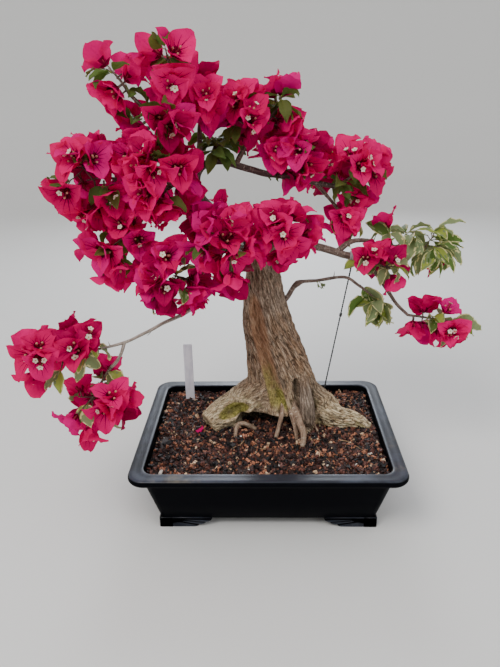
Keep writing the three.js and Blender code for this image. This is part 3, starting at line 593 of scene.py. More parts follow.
def glaze():
    """Blue-black glaze with scuffs and dust where it faces up. There its bluish grey is also a painted
    sheen of reflected sky, and its specular level is raised.
    """
    n = Nodes("glaze")
    here = n.place()
    level = n.add("ShaderNodeSeparateXYZ")
    n.feed(level.inputs[0], n.add("ShaderNodeNewGeometry").outputs["Normal"])
    facing_up = n.fade(level.outputs["Z"], 0.5, 0.95)
    dust = n.fade(n.noise(here, 24, detail=6, roughness=0.68), 0.4, 0.72)
    # Faces that look up get a bluish grey: dust together with a painted sheen of reflected sky.
    scuffs_and_sheen = n.times(facing_up, n.span(dust, 0.35, 1.0))
    colour = n.mix(scuffs_and_sheen, GLAZE["deep"], GLAZE["dust_and_sheen"])
    smudges = n.fade(n.noise(here, 9, detail=5, roughness=0.7), 0.58, 0.72)
    colour = n.mix(n.times(n.times(facing_up, smudges), 0.5), colour, GLAZE["smudge"])
    streaks = n.noise(n.place(stretch=(1, 1, 0.25)), 90, detail=5)
    roughness = n.maths(n.span(scuffs_and_sheen, 0.3, 0.36), n.span(streaks, -0.06, 0.1))
    n.bump(n.noise(here, 260, detail=3), 0.12, 0.0005)
    return n.finish(colour, roughness, Specular_IOR_Level=n.span(facing_up, 0.012, 0.4))


def bark():
    """The trunk's bark. Its grain follows the wood, and the numbers say where it is worn, where it is
    mossy and where shade is painted on it.
    """
    n = Nodes("bark")
    fibres = n.noise(n.place("grain", (0.46, 0.46, 0.06)), 1, detail=6, roughness=0.68)
    streaks = n.noise(n.place("grain", (0.13, 0.13, 0.02)), 1, detail=4)
    chips = n.noise(n.place("grain", (0.27, 0.27, 0.075)), 1, detail=5, roughness=0.7)
    height = n.maths(n.times(fibres, 0.62), n.times(chips, 0.38))
    hairline = n.lines(n.place("grain", (0.3, 0.3, 0.042)), 0.045)
    split = n.maths(n.number("crack"), n.times(hairline, 0.8), "MAXIMUM")
    smooth = n.times(n.maths(n.number("bare"), n.number("ashen"), "MAXIMUM"), 0.5)
    split = n.times(split, n.maths(1, smooth, "SUBTRACT"))
    colour = n.ramp(height, BARK["plain"])
    warmth = n.times(n.fade(streaks, 0.42, 0.62), 0.6)
    colour = n.mix(warmth, colour, n.mix(1.0, colour, BARK_WARMTH, "MULTIPLY"))
    for look in ("bare", "pale", "ashen"):
        colour = n.mix(n.number(look), colour, n.ramp(height, BARK[look]))
    colour = n.mix(split, colour, BARK_SPLIT)
    moss_tint = n.ramp(n.noise(n.place(), 210, detail=7, roughness=0.72), BARK["moss"])
    moss = n.fade(n.maths(n.number("moss"), n.maths(height, 0.5, "SUBTRACT")), 0.1, 1.0)
    colour = n.mix(moss, colour, moss_tint)
    colour = n.mix(n.times(n.number("shaded"), 0.85), colour, BARK_SHADE)
    n.bump(n.maths(height, n.times(split, 0.25), "SUBTRACT"), 1.0, 0.0035)
    return n.finish(colour, n.span(fibres, 0.95, 0.75), Specular_IOR_Level=0.2)


def twig_bark(name, dark, middle, light):
    """Bark of the thinner wood: long fibres, with paler rings across them."""
    n = Nodes(name)
    fibres = n.noise(n.place("grain", (0.5, 0.5, 0.09)), 1, detail=5, roughness=0.65)
    rings = n.noise(n.place("grain", (0.12, 0.12, 0.5)), 1, detail=3)
    colour = n.ramp(fibres, [(0.3, dark), (0.52, middle), (0.74, light)])
    colour = n.mix(n.fade(rings, 0.56, 0.7), colour, n.mix(0.5, light, TWIG_JOINT))
    n.bump(n.maths(fibres, rings), 0.6, 0.001)
    return n.finish(colour, 0.72, Specular_IOR_Level=0.3)


def grit(name, colour):
    """A grain's speckled surface, from much darker to lighter than its colour."""
    n = Nodes(name)
    speckle = n.noise(n.place(), 420, detail=5, roughness=0.65)
    darker = tuple(0.22 * c for c in colour)
    lighter = tuple(min(1.0, 1.9 * c) for c in colour)
    shades = n.ramp(speckle, [(0.38, darker), (0.5, colour), (0.64, lighter)])
    n.bump(speckle, 0.6, 0.001)
    return n.finish(shades, n.span(speckle, 0.75, 0.4), Specular_IOR_Level=0.5)


def plain(name, colour, roughness, scale=500, strength=0.2):
    """One colour with a fine grain in its surface."""
    n = Nodes(name)
    n.bump(n.noise(n.place(), scale, detail=3), strength, 0.0003)
    return n.finish(colour, roughness)


# Pot


# A scrolled leg of a foot, in shares of its length and height: the start, pull and end of each of
# its curves. Then its rounded edge: how far inside its outline, and how deep.
SCROLL = [
    ((0.62, 0), (0.74, 0), (0.74, 0.3)),
    ((0.74, 0.3), (0.86, 0.25), (0.88, 0.55)),
    ((0.88, 0.55), (0.98, 0.55), (1, 1)),
]
SCROLL_STEPS = 7
FOOT_EDGE = [(1.6, 0), (0.4, 0.5), (0, 1.6), (0, FOOT["thick"])]
# The ring that closes the middle of the pot's underside is this share of the next.
NARROWEST = 0.02


def pot_ring(inset, z, steps=CORNER_STEPS):
    """Outline of the pot at some distance inside its rim's edge."""
    half = RIM_HALF - inset
    corner = max(RIM_CORNER - inset * CORNER_SHRINK, SMALLEST_CORNER)
    outline = []
    for quarter, (side_x, side_y) in enumerate([(1, 1), (-1, 1), (-1, -1), (1, -1)]):
        turn = np.linspace(quarter, quarter + 1, steps + 1) * np.pi / 2
        x = side_x * (half[0] - corner) + corner * np.cos(turn)
        y = side_y * (half[1] - corner) + corner * np.sin(turn)
        outline.append(np.stack([x, y, np.full_like(x, z)], axis=1))
    return np.concatenate(outline)


def foot_leg(length, ahead, inwards, corner):
    """One leg of a corner foot: a scrolled board with rounded edges."""
    top = FLOOR_Z + FOOT["sunk"]
    scroll = [(0, 0), SCROLL[0][0]]
    share = np.linspace(0, 1, SCROLL_STEPS + 1)[1:, None]
    for start, pull, end in np.array(SCROLL):
        curve = (1 - share) ** 2 * start + 2 * share * (1 - share) * pull + share ** 2 * end
        scroll.extend(curve.tolist())
    scroll.append((0, 1))
    outline = np.array(scroll) * (length, top)
    middle = np.array([length * 0.4, top * 0.6])
    rings = []
    for inset, depth in FOOT_EDGE:
        shrunk = outline + unit(middle - outline) * inset
        shrunk[:, 1] = np.maximum(shrunk[:, 1], 0)
        rings.append(corner + shrunk[:, :1] * ahead + shrunk[:, 1:] * UP + depth * inwards)
    count = len(outline)
    caps = [[k * count + count - 1, k * count + i, k * count + i + 1]
            for k in (0, len(rings) - 1) for i in range(count - 2)]
    return np.concatenate(rings), np.concatenate([halved(ring_faces(len(rings), count)), np.array(caps)])


def build_pot():
    joined = Joined()
    rings = [pot_ring(inset, z) for inset, z in POT_PROFILE]
    rings.insert(0, rings[0] * (NARROWEST, NARROWEST, 1))
    joined.add(np.concatenate(rings), ring_faces(len(rings), len(rings[0])))
    foot_x, foot_y = RIM_HALF - FOOT["inset"]
    for side_x in (-1, 1):
        for side_y in (-1, 1):
            corner = np.array([side_x * foot_x, side_y * foot_y, 0])
            along_x, along_y = np.array([-side_x, 0, 0]), np.array([0, -side_y, 0])
            joined.add(*foot_leg(FOOT["length_x"], along_x, along_y, corner))
            joined.add(*foot_leg(FOOT["length_y"], along_y, along_x, corner))
    pot = joined.piece("glazed_pot", [glaze()], "pot")
    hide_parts("pot")


# Soil

GRAIN_COUNT = 9000
GRAIN_SIZES = (3.2, 8.6)
GRAIN_LEVELS = (-2.8, 2.6)
GRAIN_SHADES = [
    # colour and share
    ((0.11, 0.036, 0.024), 0.27), ((0.036, 0.014, 0.012), 0.28), ((0.006, 0.005, 0.006), 0.25),
    ((0.38, 0.15, 0.08), 0.14), ((0.66, 0.42, 0.26), 0.048), ((0.8, 0.72, 0.6), 0.006),
]
BED_COLOUR = (0.03, 0.015, 0.011)
ROOTLETS = [
    # thin roots that lie on the soil: a few places along each, and its thickness
    ([(66, -25), (76, -46), (84, -70), (97, -99)], 1.1),
    ([(118, -34), (132, -40), (143, -52), (152, -66)], 1.0),
    ([(112, 92), (124, 98), (138, 94), (150, 99)], 1.3),
    ([(-38, -34), (-44, -48), (-57, -58)], 1.2),
    ([(-20, -52), (-2, -60), (12, -57)], 0.8),
]
ROOTLET_LOOK = ((0.14, 0.075, 0.04), (0.36, 0.22, 0.12), (0.6, 0.44, 0.28))
# Scales of the grains and the share of each, and their form: flat more often than round.
GRAIN_SCALES = [0.75, 1.0, 1.35]
GRAIN_SCALE_SHARES = [0.35, 0.5, 0.15]
GRAIN_FORM = (1.2, 0.85, 0.5)
GRAIN_EDGE = 1.5
GRAINS_SUNK = 1.1
HIGHEST_GRAIN = SOIL_TOP + 4
# The bed under the grains: how far inside the rim it starts, and its rings inside that.
BED_INSET = 23.4
BED_RINGS = (0, 4, 10, 20, 34, 50, 70, 90, 110, 130)
BED_SIDE = {"inset": 6, "deep": 26}
BED_STEPS = 10
BED_SUNK = 0.8


def lump_heights():
    """Height of the soil at each corner of its grid, by the source's rule."""
    random = seeded(LUMPS["seed"])
    count_x, count_y = LUMPS["count_x"], LUMPS["count_y"]
    heights = np.empty((2 * count_x + 1, 2 * count_y + 1))
    for i in range(-count_x, count_x + 1):
        for j in range(-count_y, count_y + 1):
            spot = np.array([i, j]) * LUMPS["spacing"]
            drop = LUMPS["high" if (i + j) % 2 == 0 else "low"] * (0.5 + 0.5 * next(random))
            firm = any(np.linalg.norm((spot - middle) / half) < 1 for middle, half in np.array(FIRM))
            heights[i + count_x, j + count_y] = SOIL_TOP if firm else SOIL_TOP - drop
    return heights


LUMP_HEIGHTS = lump_heights()


def soil_height(x, y):
    """Height of the bed's grains: the source's lumps, and finer ones on them."""
    u = x / LUMPS["spacing"] + LUMPS["count_x"]
    v = y / LUMPS["spacing"] + LUMPS["count_y"]
    i, j = np.floor(u).astype(int), np.floor(v).astype(int)
    across, along = smoothstep(0, 1, u - i), smoothstep(0, 1, v - j)
    near = LUMP_HEIGHTS[i, j] * (1 - across) + LUMP_HEIGHTS[i + 1, j] * across
    far = LUMP_HEIGHTS[i, j + 1] * (1 - across) + LUMP_HEIGHTS[i + 1, j + 1] * across
    uneven = layered(np.stack([x / 16, y / 16, np.zeros_like(x)], axis=1), 31)
    return near * (1 - along) + far * along - GRAINS_SUNK + 0.5 * uneven


def random_turns(rng, count):
    """Rotation matrices spread evenly over all directions."""
    q = unit(rng.normal(size=(count, 4)))
    w, x, y, z = q.T
    return np.stack([
        1 - 2 * (y * y + z * z), 2 * (x * y - w * z), 2 * (x * z + w * y),
        2 * (x * y + w * z), 1 - 2 * (x * x + z * z), 2 * (y * z - w * x),
        2 * (x * z - w * y), 2 * (y * z + w * x), 1 - 2 * (x * x + y * y),
    ], axis=1).reshape(-1, 3, 3)


BOX_CORNERS = np.array(list(np.ndindex(2, 2, 2)), float) * 2 - 1
BOX_FACES = np.array([(0, 1, 3, 2), (4, 6, 7, 5), (0, 4, 5, 1), (2, 3, 7, 6), (0, 2, 6, 4), (1, 5, 7, 3)])


def build_grains():
    """The loose granules of soil: small boxes with uneven corners, turned at random."""
    rng = np.random.default_rng(77)
    reach = RIM_HALF - BED_INSET - GRAIN_EDGE
    x = rng.uniform(-reach[0], reach[0], GRAIN_COUNT)
    y = rng.uniform(-reach[1], reach[1], GRAIN_COUNT)
    size = rng.uniform(*GRAIN_SIZES, GRAIN_COUNT)
    size = size * rng.choice(GRAIN_SCALES, GRAIN_COUNT, p=GRAIN_SCALE_SHARES)
    shape = rng.uniform(0.6, 1.1, (GRAIN_COUNT, 3)) * GRAIN_FORM
    corners = BOX_CORNERS * rng.uniform(0.62, 1.0, (GRAIN_COUNT, 8, 3))
    corners = corners * (shape * size[:, None] / 2)[:, None]
    corners = np.einsum("nij,nkj->nki", random_turns(rng, GRAIN_COUNT), corners)
    centre = np.stack([x, y, soil_height(x, y) + rng.uniform(*GRAIN_LEVELS, GRAIN_COUNT)], axis=1)
    points = corners + centre[:, None]
    points[..., 2] = np.minimum(points[..., 2], HIGHEST_GRAIN)
    shares = np.array([share for _, share in GRAIN_SHADES])
    shade = rng.choice(len(shares), GRAIN_COUNT, p=shares / shares.sum())
    joined = Joined()
    joined.add(points.reshape(-1, 3), repeated(BOX_FACES, 8, GRAIN_COUNT), np.repeat(shade, 6))
    materials = [grit(f"grit_{k}", colour) for k, (colour, _) in enumerate(GRAIN_SHADES)]
    joined.piece("soil_grains", materials, "soil", smooth=False)


def build_bed():
    """The dark ground between the granules, over the whole of the source's soil."""
    rings = np.stack([pot_ring(BED_INSET + inset, 0, BED_STEPS) for inset in BED_RINGS])
    heights = soil_height(rings[..., 0].ravel(), rings[..., 1].ravel())
    rings[..., 2] = heights.reshape(rings.shape[:2]) - BED_SUNK
    side = pot_ring(BED_INSET + BED_SIDE["inset"], SOIL_TOP - BED_SIDE["deep"], BED_STEPS)
    points = np.concatenate([side[None], rings]).reshape(-1, 3)
    faces = ring_faces(len(rings) + 1, rings.shape[1])
    bed = piece("soil_bed", points, faces, [grit("soil_ground", BED_COLOUR)])
    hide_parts("soil")


def build_rootlets():
    joined = Joined()
    for via, radius in ROOTLETS:
        path = smooth_path([(x, y, 0) for x, y in via], 8)
        path[:, 2] = soil_height(path[:, 0], path[:, 1]) + 2.2 + 0.9 * noise(path / 7, 23)
        joined.add(*with_grain(tube(path, np.linspace(radius, 0.4 * radius, len(path)), 6)))
    joined.piece("rootlets", [twig_bark("rootlet", *ROOTLET_LOOK)], "bark")


# Trunk

# Fineness of the one skin that is drawn over the trunk, its thick roots and its boughs' stubs.
TRUNK_FILM = 1.4
FILM_EASE = {"factor": 0.5, "rounds": 7}
STUB = {"long": 34, "short": 22, "thick_from": 6, "flare": (1.35, 0.9)}
TRUNK_RING_SIDES = 72
TRUNK_RINGS = 70
THICK_ROOTS = (0, 1, 6)
SLIM_ROOTS = [
    # the source's slim roots, and thinner ones between them
    (ROOTS[3][0], (4.2, 2.7)), (ROOTS[4][0], (7.4, 4)),
    ([(-19, 4, 98), (-36, -4, 113), (-49, -8, 112), (-52, -22, 98)], (3.8, 3.2)),
    ([(33, 10, 152), (41, -15, 130), (47, -27, 110), (48, -34, 96)], (4.6, 2.8)),
    ([(73, 2, 124), (79, -6, 108), (86, -13, 97)], (1.8, 1.2)),
]
LOBE = {
    "via": [(57, 22, 202), (62, 3, 168), (65, -8, 138), (67, -5, 110)],
    "radius": [(0, 4), (0.25, 9), (0.6, 12.5), (0.85, 12), (0.96, 9), (1, 5)],
}
# The trunk's foot stands back over the soil between its roots.
UNDERCUT = {
    "from_x": -54, "to_x": 56, "edge": 16, "top": 132, "bottom": 112, "deep": 46, "back_y": 40,
    "front_y": 15,
}
ROOT_LOOK = ((0.1, 0.058, 0.038), (0.3, 0.2, 0.135), (0.52, 0.4, 0.29))
ROOT_BUMPS = (2.2, 2.2, 11)
# Relief of the bark: how wide, long and deep each kind is.
FISSURES = {"wide": 5.8, "long": 34, "deep": 2.2}
STRANDS = {"wide": 3.2, "long": 24, "deep": 1.1}
FLAKES = {"wide": 3.2, "long": 7, "deep": 0.7}
SWELLS = {"wide": 24, "long": 70, "deep": 1.6}
GROOVES = {"wide": 3.2, "long": 72, "deep": 0.55}
CHANNEL_LIP = 2.6
HOLLOW_RIM = 3.4
HOLLOW_DEPTH = 9
BOWL = {"heart": (-55, -1, 132), "half": (29, 36, 11.5)}
# How softly the channel cuts in, and how far the grain of each part reaches into the next.
EASE = 1.6
BLEND = 3.5
# Heights between which each look of the bark goes from nothing to full.
LEVELS = {
    "channel": (124, 158), "bare": (150, 215), "moss": (240, 170), "lobe": (200, 172),
    "left_knob": (165, 145), "right_root": (150, 128), "foot": (190, 125), "golden": (220, 140),
    "ashen": (230, 330),
}
# Crevices are cut into the bark this wide and deep, and painted dark as shade.
CREVICE = {"radius": 6, "deep": 6.5}
CREVICES = [
    # under the left root, and on either side of the smooth lobe
    [(-26, 1, 121), (-10, -4, 119), (3, -7, 113)],
    [(47, 7, 186), (49, 0, 160), (50, -5, 136), (54, -8, 114)],
    [(71, 22, 172), (77, 14, 144), (80, 2, 116)],
]


def trunk_rings():
    """The source's fluted trunk, as finer rings."""
    z = np.linspace(TRUNK_LEVELS[0, 0], TRUNK_LEVELS[-1, 0], TRUNK_RINGS)
    through = smooth_path(TRUNK_LEVELS[:, [1, 2, 3]], 12)
    heights = smooth_path(np.repeat(TRUNK_LEVELS[:, :1], 3, axis=1), 12)[:, 0]
    centre, half_x, half_y = (np.interp(z, heights, through[:, i]) for i in range(3))
    turn = np.linspace(0, 2 * np.pi, TRUNK_RING_SIDES, endpoint=False)
    above = z - SOIL_TOP
    depth = FLUTES["depth"] * np.maximum(0, 1 - above / FLUTES["fade"])
    flute = 1 + depth[:, None] * np.cos(FLUTES["count"] * turn + FLUTES["twist"] * above[:, None])
    x = centre[:, None] + half_x[:, None] * flute * np.cos(turn)
    y = TRUNK_Y + half_y[:, None] * flute * np.sin(turn)
    return np.stack([x, y, np.broadcast_to(z[:, None], x.shape)], axis=-1)


def distance_to_path(points, path):
    """Distance from each point to a path, how far along the path that is, where, and which way
    the path runs there."""
    best = np.full(len(points), np.inf)
    along = np.zeros(len(points))
    spot = np.zeros_like(points)
    way = np.zeros_like(points)
    done = 0.0
    for start, end in zip(path[:-1], path[1:]):
        step = end - start
        length = np.linalg.norm(step)
        share = np.clip((points - start) @ step / length ** 2, 0, 1)
        near = start + share[:, None] * step
        distance = np.linalg.norm(points - near, axis=1)
        closer = distance < best
        best[closer] = distance[closer]
        along[closer] = done + share[closer] * length
        spot[closer] = near[closer]
        way[closer] = step / length
        done += length
    return best, along, spot, way


def build_trunk(routes):
    joined = Joined()
    joined.add(*closed(trunk_rings()))
    skeletons = []
    for via, radius in [ROOTS[k] for k in THICK_ROOTS]:
        path = smooth_path(via, 8)
        radii = np.linspace(*radius, len(path))
        joined.add(*tube(path, radii, 20)[:2])
        skeletons.append((path, radii))
    path = smooth_path(LOBE["via"], 8)
    radii = np.interp(np.linspace(0, 1, len(path)), *np.array(LOBE["radius"]).T)
    joined.add(*tube(path, radii, 20)[:2])
    skeletons.append((path, radii))
    for route in routes.values():
        if route["parent"] == "trunk":
            thick = route["radius"][0] > STUB["thick_from"]
            path = cut_path(route["fine"], STUB["long" if thick else "short"])
            flare = route["radius"][0] * np.linspace(*STUB["flare"], len(path))
            joined.add(*tube(path, flare, 16)[:2])
            skeletons.append((path, flare))
    rough = piece("trunk_bark", np.concatenate(joined.points), np.concatenate(joined.faces), [])
    film = rough.modifiers.new("film", "REMESH")
    film.mode = "VOXEL"
    film.voxel_size = TRUNK_FILM * MM
    ease = rough.modifiers.new("ease", "SMOOTH")
    ease.factor = FILM_EASE["factor"]
    ease.iterations = FILM_EASE["rounds"]
    whole = bpy.data.meshes.new_from_object(rough.evaluated_get(bpy.context.evaluated_depsgraph_get()))
    bpy.data.objects.remove(rough)
    points = np.empty(len(whole.vertices) * 3)
    whole.vertices.foreach_get("co", points)
    points = (points.reshape(-1, 3) - SHIFT) / MM
    normals = np.empty(len(whole.vertices) * 3)
    whole.vertices.foreach_get("normal", normals)
    normals = normals.reshape(-1, 3)
    faces = np.empty(len(whole.loops), np.int32)
    whole.loops.foreach_get("vertex_index", faces)
    faces = faces.reshape(-1, 4)
    bpy.data.meshes.remove(whole)

    points, numbers, grain = carve(points, normals, skeletons)
    above_soil = points[faces][..., 2].max(axis=1) > SOIL_TOP - 5
    faces = faces[above_soil]
    used, renumbered = np.unique(faces, return_inverse=True)
    trunk = piece("trunk_bark", points[used], renumbered.reshape(faces.shape), [bark()],
                  vectors={"grain": grain[used]}, numbers={k: v[used] for k, v in numbers.items()})
    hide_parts("trunk")


def build_slim_roots():
    joined = Joined()
    for k, (via, radius) in enumerate(SLIM_ROOTS):
        path = smooth_path(via, 8)
        share = np.linspace(0, 1, len(path))
        path = path + 1.1 * np.stack([noise(path / 13 + 9 * i + k, 41 + i) for i in range(3)], axis=1)
        knots = 1 + 0.14 * noise(path / 8 + k, 45)
        flare = 1 + 0.25 * smoothstep(0.25, 0, share)
        radii = (radius[0] + (radius[1] - radius[0]) * share) * flare * knots
        shape = tube(path, radii, 16, lambda grain: 1 + 0.09 * noise(grain / ROOT_BUMPS, 83))
        joined.add(*with_grain(shape))
    joined.piece("slim_roots", [twig_bark("root_bark", *ROOT_LOOK)], "bark")


def grain_on(points, path, radii):
    """Where points lie round and along a path: coordinates whose third runs with the wood."""
    distance, along, spot, way = distance_to_path(points, path)
    size = np.interp(along, np.linspace(0, along.max() + 1e-6, len(radii)), radii)
    spoke = unit(points - spot + 1e-6)
    side = unit(np.cross(way, np.array([0.31, 0.87, 0.38])))
    over = np.cross(way, side)
    around = np.stack([(spoke * side).sum(axis=1), (spoke * over).sum(axis=1)], axis=1)
    return distance - size, np.column_stack([around * size[:, None], along])


def turned(lean, turn):
    """Rotation of an oval that leans up towards +X and turns towards +Y."""
    near, far = math.cos(lean), math.sin(lean)
    up = np.array([[near, 0, -far], [0, 1, 0], [far, 0, near]])
    near, far = math.cos(turn), math.sin(turn)
    return np.array([[near, -far, 0], [far, near, 0], [0, 0, 1]]) @ up


def eased(depth):
    """How far inside a cutting body, with a soft start."""
    return (depth + np.sqrt(depth ** 2 + EASE ** 2)) / 2


def bark_grains(points, skeletons):
    """Grain coordinates of each point on the trunk and on each root, and the share of each.
    Also how thick the trunk is at each point."""
    z = points[:, 2]
    centre, half_x, half_y = (np.interp(z, TRUNK_LEVELS[:, 0], TRUNK_LEVELS[:, i]) for i in (1, 2, 3))
    across = np.sqrt(half_x * half_y)
    from_axis = np.stack([(points[:, 0] - centre) / half_x, (points[:, 1] - TRUNK_Y) / half_y], axis=1)
    radius = np.linalg.norm(from_axis, axis=1)
    turn = np.arctan2(from_axis[:, 1], from_axis[:, 0]) + 0.004 * (z - SOIL_TOP)
    wide = 0.6 * across + 16
    grains = [np.column_stack([wide * np.cos(turn), wide * np.sin(turn), z])]
    nearness = [np.exp(-np.abs(radius - 1) * across * 0.8 / BLEND)]
    for k, (path, radii) in enumerate(skeletons):
        gap, own = grain_on(points, path, radii)
        grains.append(own + (0, 0, 300 * (k + 1)))
        nearness.append(np.exp(-np.abs(gap) / BLEND) * np.where(radius > 0.9, 1.0, 0.15))
    nearness = np.array(nearness)
    return np.array(grains), nearness / nearness.sum(axis=0), across


def undercut(points):
    """1 where the trunk's foot stands back, 0 beside and above that."""
    x, y, z = points.T
    share = smoothstep(UNDERCUT["top"], UNDERCUT["bottom"], z)
    share *= smoothstep(UNDERCUT["back_y"], UNDERCUT["front_y"], y)
    share *= smoothstep(UNDERCUT["from_x"], UNDERCUT["from_x"] + UNDERCUT["edge"], x)
    share *= smoothstep(UNDERCUT["to_x"], UNDERCUT["to_x"] - UNDERCUT["edge"], x)
    return share


def carve(points, normals, skeletons):
    """Relief of the bark on a smooth trunk, and numbers for where it is worn, where it is mossy and where
    shade is painted: in the middle of the hollow, in the crevices and under the trunk's foot.
    """
    x, z = points[:, 0], points[:, 2]
    level = {look: smoothstep(*limits, z) for look, limits in LEVELS.items()}
    grains, shares, across = bark_grains(points, skeletons)

    def on_bark(size, build):
        """One relief worked out on the trunk and on each root, blended where they meet."""
        value = np.zeros(len(points))
        scale = (size["wide"], size["wide"], size["long"])
        for own, share in zip(grains, shares):
            near = share > 0.02
            value[near] += share[near] * build(own[near] / scale)
        return value * size["deep"]

    fissures = on_bark(FISSURES, lambda g: np.minimum(np.abs(layered(g, 5, 2)) / 0.24, 1) - 1)
    strands = on_bark(STRANDS, lambda g: np.minimum(np.abs(noise(g, 9)) / 0.35, 1) - 1)
    flakes = on_bark(FLAKES, lambda g: layered(g, 14, 2))
    swells = on_bark(SWELLS, lambda g: noise(g, 21))

    distance, along, spot, _ = distance_to_path(points, smooth_path(CHANNEL["via"], 6))
    inside = np.interp(along, [0, along.max()], CHANNEL["radius"]) - distance
    front = normals[:, 1] < 0.2
    cut = eased(inside) * front * level["channel"]
    channel = smoothstep(-1.5, 3.5, inside) * front * level["channel"]
    on_right = x - spot[:, 0] > 0
    lip = np.exp(-((inside + 3) / 2.4) ** 2) * np.where(on_right, 1, 0.45) * front * level["channel"]

    local = (points - BOWL["heart"]) @ turned(HOLLOW["lean"], HOLLOW["turn"]) / BOWL["half"]
    oval = np.linalg.norm(local[:, [0, 2]], axis=1)
    facing = (normals[:, 1] < 0.3) & (np.abs(local[:, 1]) < 1)
    bowl = smoothstep(1.02, 0.82, oval) * facing
    rim = np.exp(-((oval - 1.16) / 0.14) ** 2) * facing
    sunk = HOLLOW_DEPTH * smoothstep(1.02, 0.4, oval) * facing

    lobe = grain_on(points, *skeletons[len(THICK_ROOTS)])[0]
    on_lobe = smoothstep(4, -1, lobe) * level["lobe"] * (normals[:, 1] < 0.3)
    left_knob = smoothstep(-18, -46, x) * level["left_knob"]
    right_root = smoothstep(78, 100, x) * level["right_root"]
    nearest = np.min([distance_to_path(points, smooth_path(via, 4))[0] for via in CREVICES], axis=0)
    crevice = smoothstep(CREVICE["radius"], 0, nearest)
    rough = (1 - 0.8 * channel) * (1 - 0.75 * bowl) * (1 - 0.5 * on_lobe)
    rough = rough * (1 + 0.4 * right_root - 0.4 * left_knob)
    relief = (fissures + strands + flakes) * rough * smoothstep(4, 16, across) + swells
    relief += CHANNEL_LIP * lip + HOLLOW_RIM * rim
    grooves = on_bark(GROOVES, lambda g: noise(g, 33))
    relief += grooves * np.maximum(channel, bowl) - CREVICE["deep"] * crevice
    moved = points + normals * (relief - cut - sunk)[:, None]
    moved[:, 2] = np.where(z < SOIL_TOP - 2, z, moved[:, 2])
    under = undercut(points)
    moved[:, 1] += UNDERCUT["deep"] * under

    patch = layered(points / 24, 51)
    patchy = smoothstep(-0.1, 0.5, layered(points / 40, 58))
    foot = level["foot"] * smoothstep(0.2, -0.6, normals[:, 1]) * (1 - on_lobe)
    moss = channel * level["moss"] * (0.7 + 0.5 * patch)
    moss = np.maximum(moss, bowl * (1.0 + 0.5 * patch))
    moss = np.maximum(moss, 0.45 * smoothstep(0.1, 0.6, patch) * foot)
    golden = 0.4 * level["golden"] * (1 - channel) * (1 - on_lobe)
    ashen = (0.3 * patchy + 0.4 * level["ashen"]) * (1 - channel)
    numbers = {
        "bare": channel * level["bare"],
        "moss": np.clip(moss * (1 - 0.6 * rim), 0, 1),
        "pale": np.clip(left_knob * (1 - bowl) + 0.65 * right_root + 0.7 * rim + golden, 0, 1),
        "ashen": np.clip(0.9 * on_lobe + ashen, 0, 1),
        "crack": np.clip(-1.5 * fissures / FISSURES["deep"] - 0.5, 0, 1) * np.clip(rough, 0, 1),
        # Painted shade: darker in the middle of the hollow, in the crevices and under the trunk's foot.
        "shaded": np.clip(0.5 * bowl * smoothstep(0.7, 0.2, oval) + crevice + under, 0, 1),
    }
    return moved, numbers, grains[shares.argmax(axis=0), np.arange(len(points))]


# Limbs


def cut_path(path, length):
    """The first part of a path, at least three points of it."""
    return path[: max(3, int(np.searchsorted(length_along(path), length)))]


def outness(mass, points):
    """0 at a mass's heart, 1 on its edge."""
    return np.linalg.norm((points - mass["heart"]) / mass["reach"], axis=-1)


def route_limbs(masses):
    """Every limb's parent, mass, radii and paths: the source's own and a finer one."""
    routes = {}

    def lay(name, parent, feeds, radius, via, steps):
        routes[name] = {"parent": parent, "feeds": feeds, "radius": radius,
                        "path": smooth_path(via, steps), "fine": smooth_path(via, FINE_STEPS)}

    for name, (parent, feeds, radius, via) in MAIN_LIMBS.items():
        lay(name, parent, feeds, radius, via, MAIN_STEPS)
    for name, (parent, at, feeds, lift) in SIDE_LIMBS.items():
        mass = masses[feeds]
        if parent == "trunk":
            start = np.array(at, float)
            base = SIDE["from_trunk"]
        else:
            path = routes[parent]["path"]
            along = at * (len(path) - 1)
            whole = int(along)
            start = path[whole] + (path[whole + 1] - path[whole]) * (along - whole)
            thick, thin = routes[parent]["radius"]
            base = (thick + (thin - thick) * at) * SIDE["thinning"]
        share = min(ENTRY / outness(mass, start), DEEPEST_ENTRY)
        end = mass["heart"] + (start - mass["heart"]) * share
        early = start + (end - start) * 0.35 + UP * lift
        late = start + (end - start) * 0.7 + UP * 0.8 * lift
        tip = max(SIDE["tip"], base * SIDE["taper"])
        lay(name, parent, feeds, (base, tip), [start, early, late, end], 1)
    return routes


def limb_segments(route):
    """Starts, ends and radii of a limb's straight parts."""
    path = route["path"]
    radii = np.linspace(route["radius"][0], route["radius"][1], len(path))
    return path[:-1], path[1:], radii[:-1]


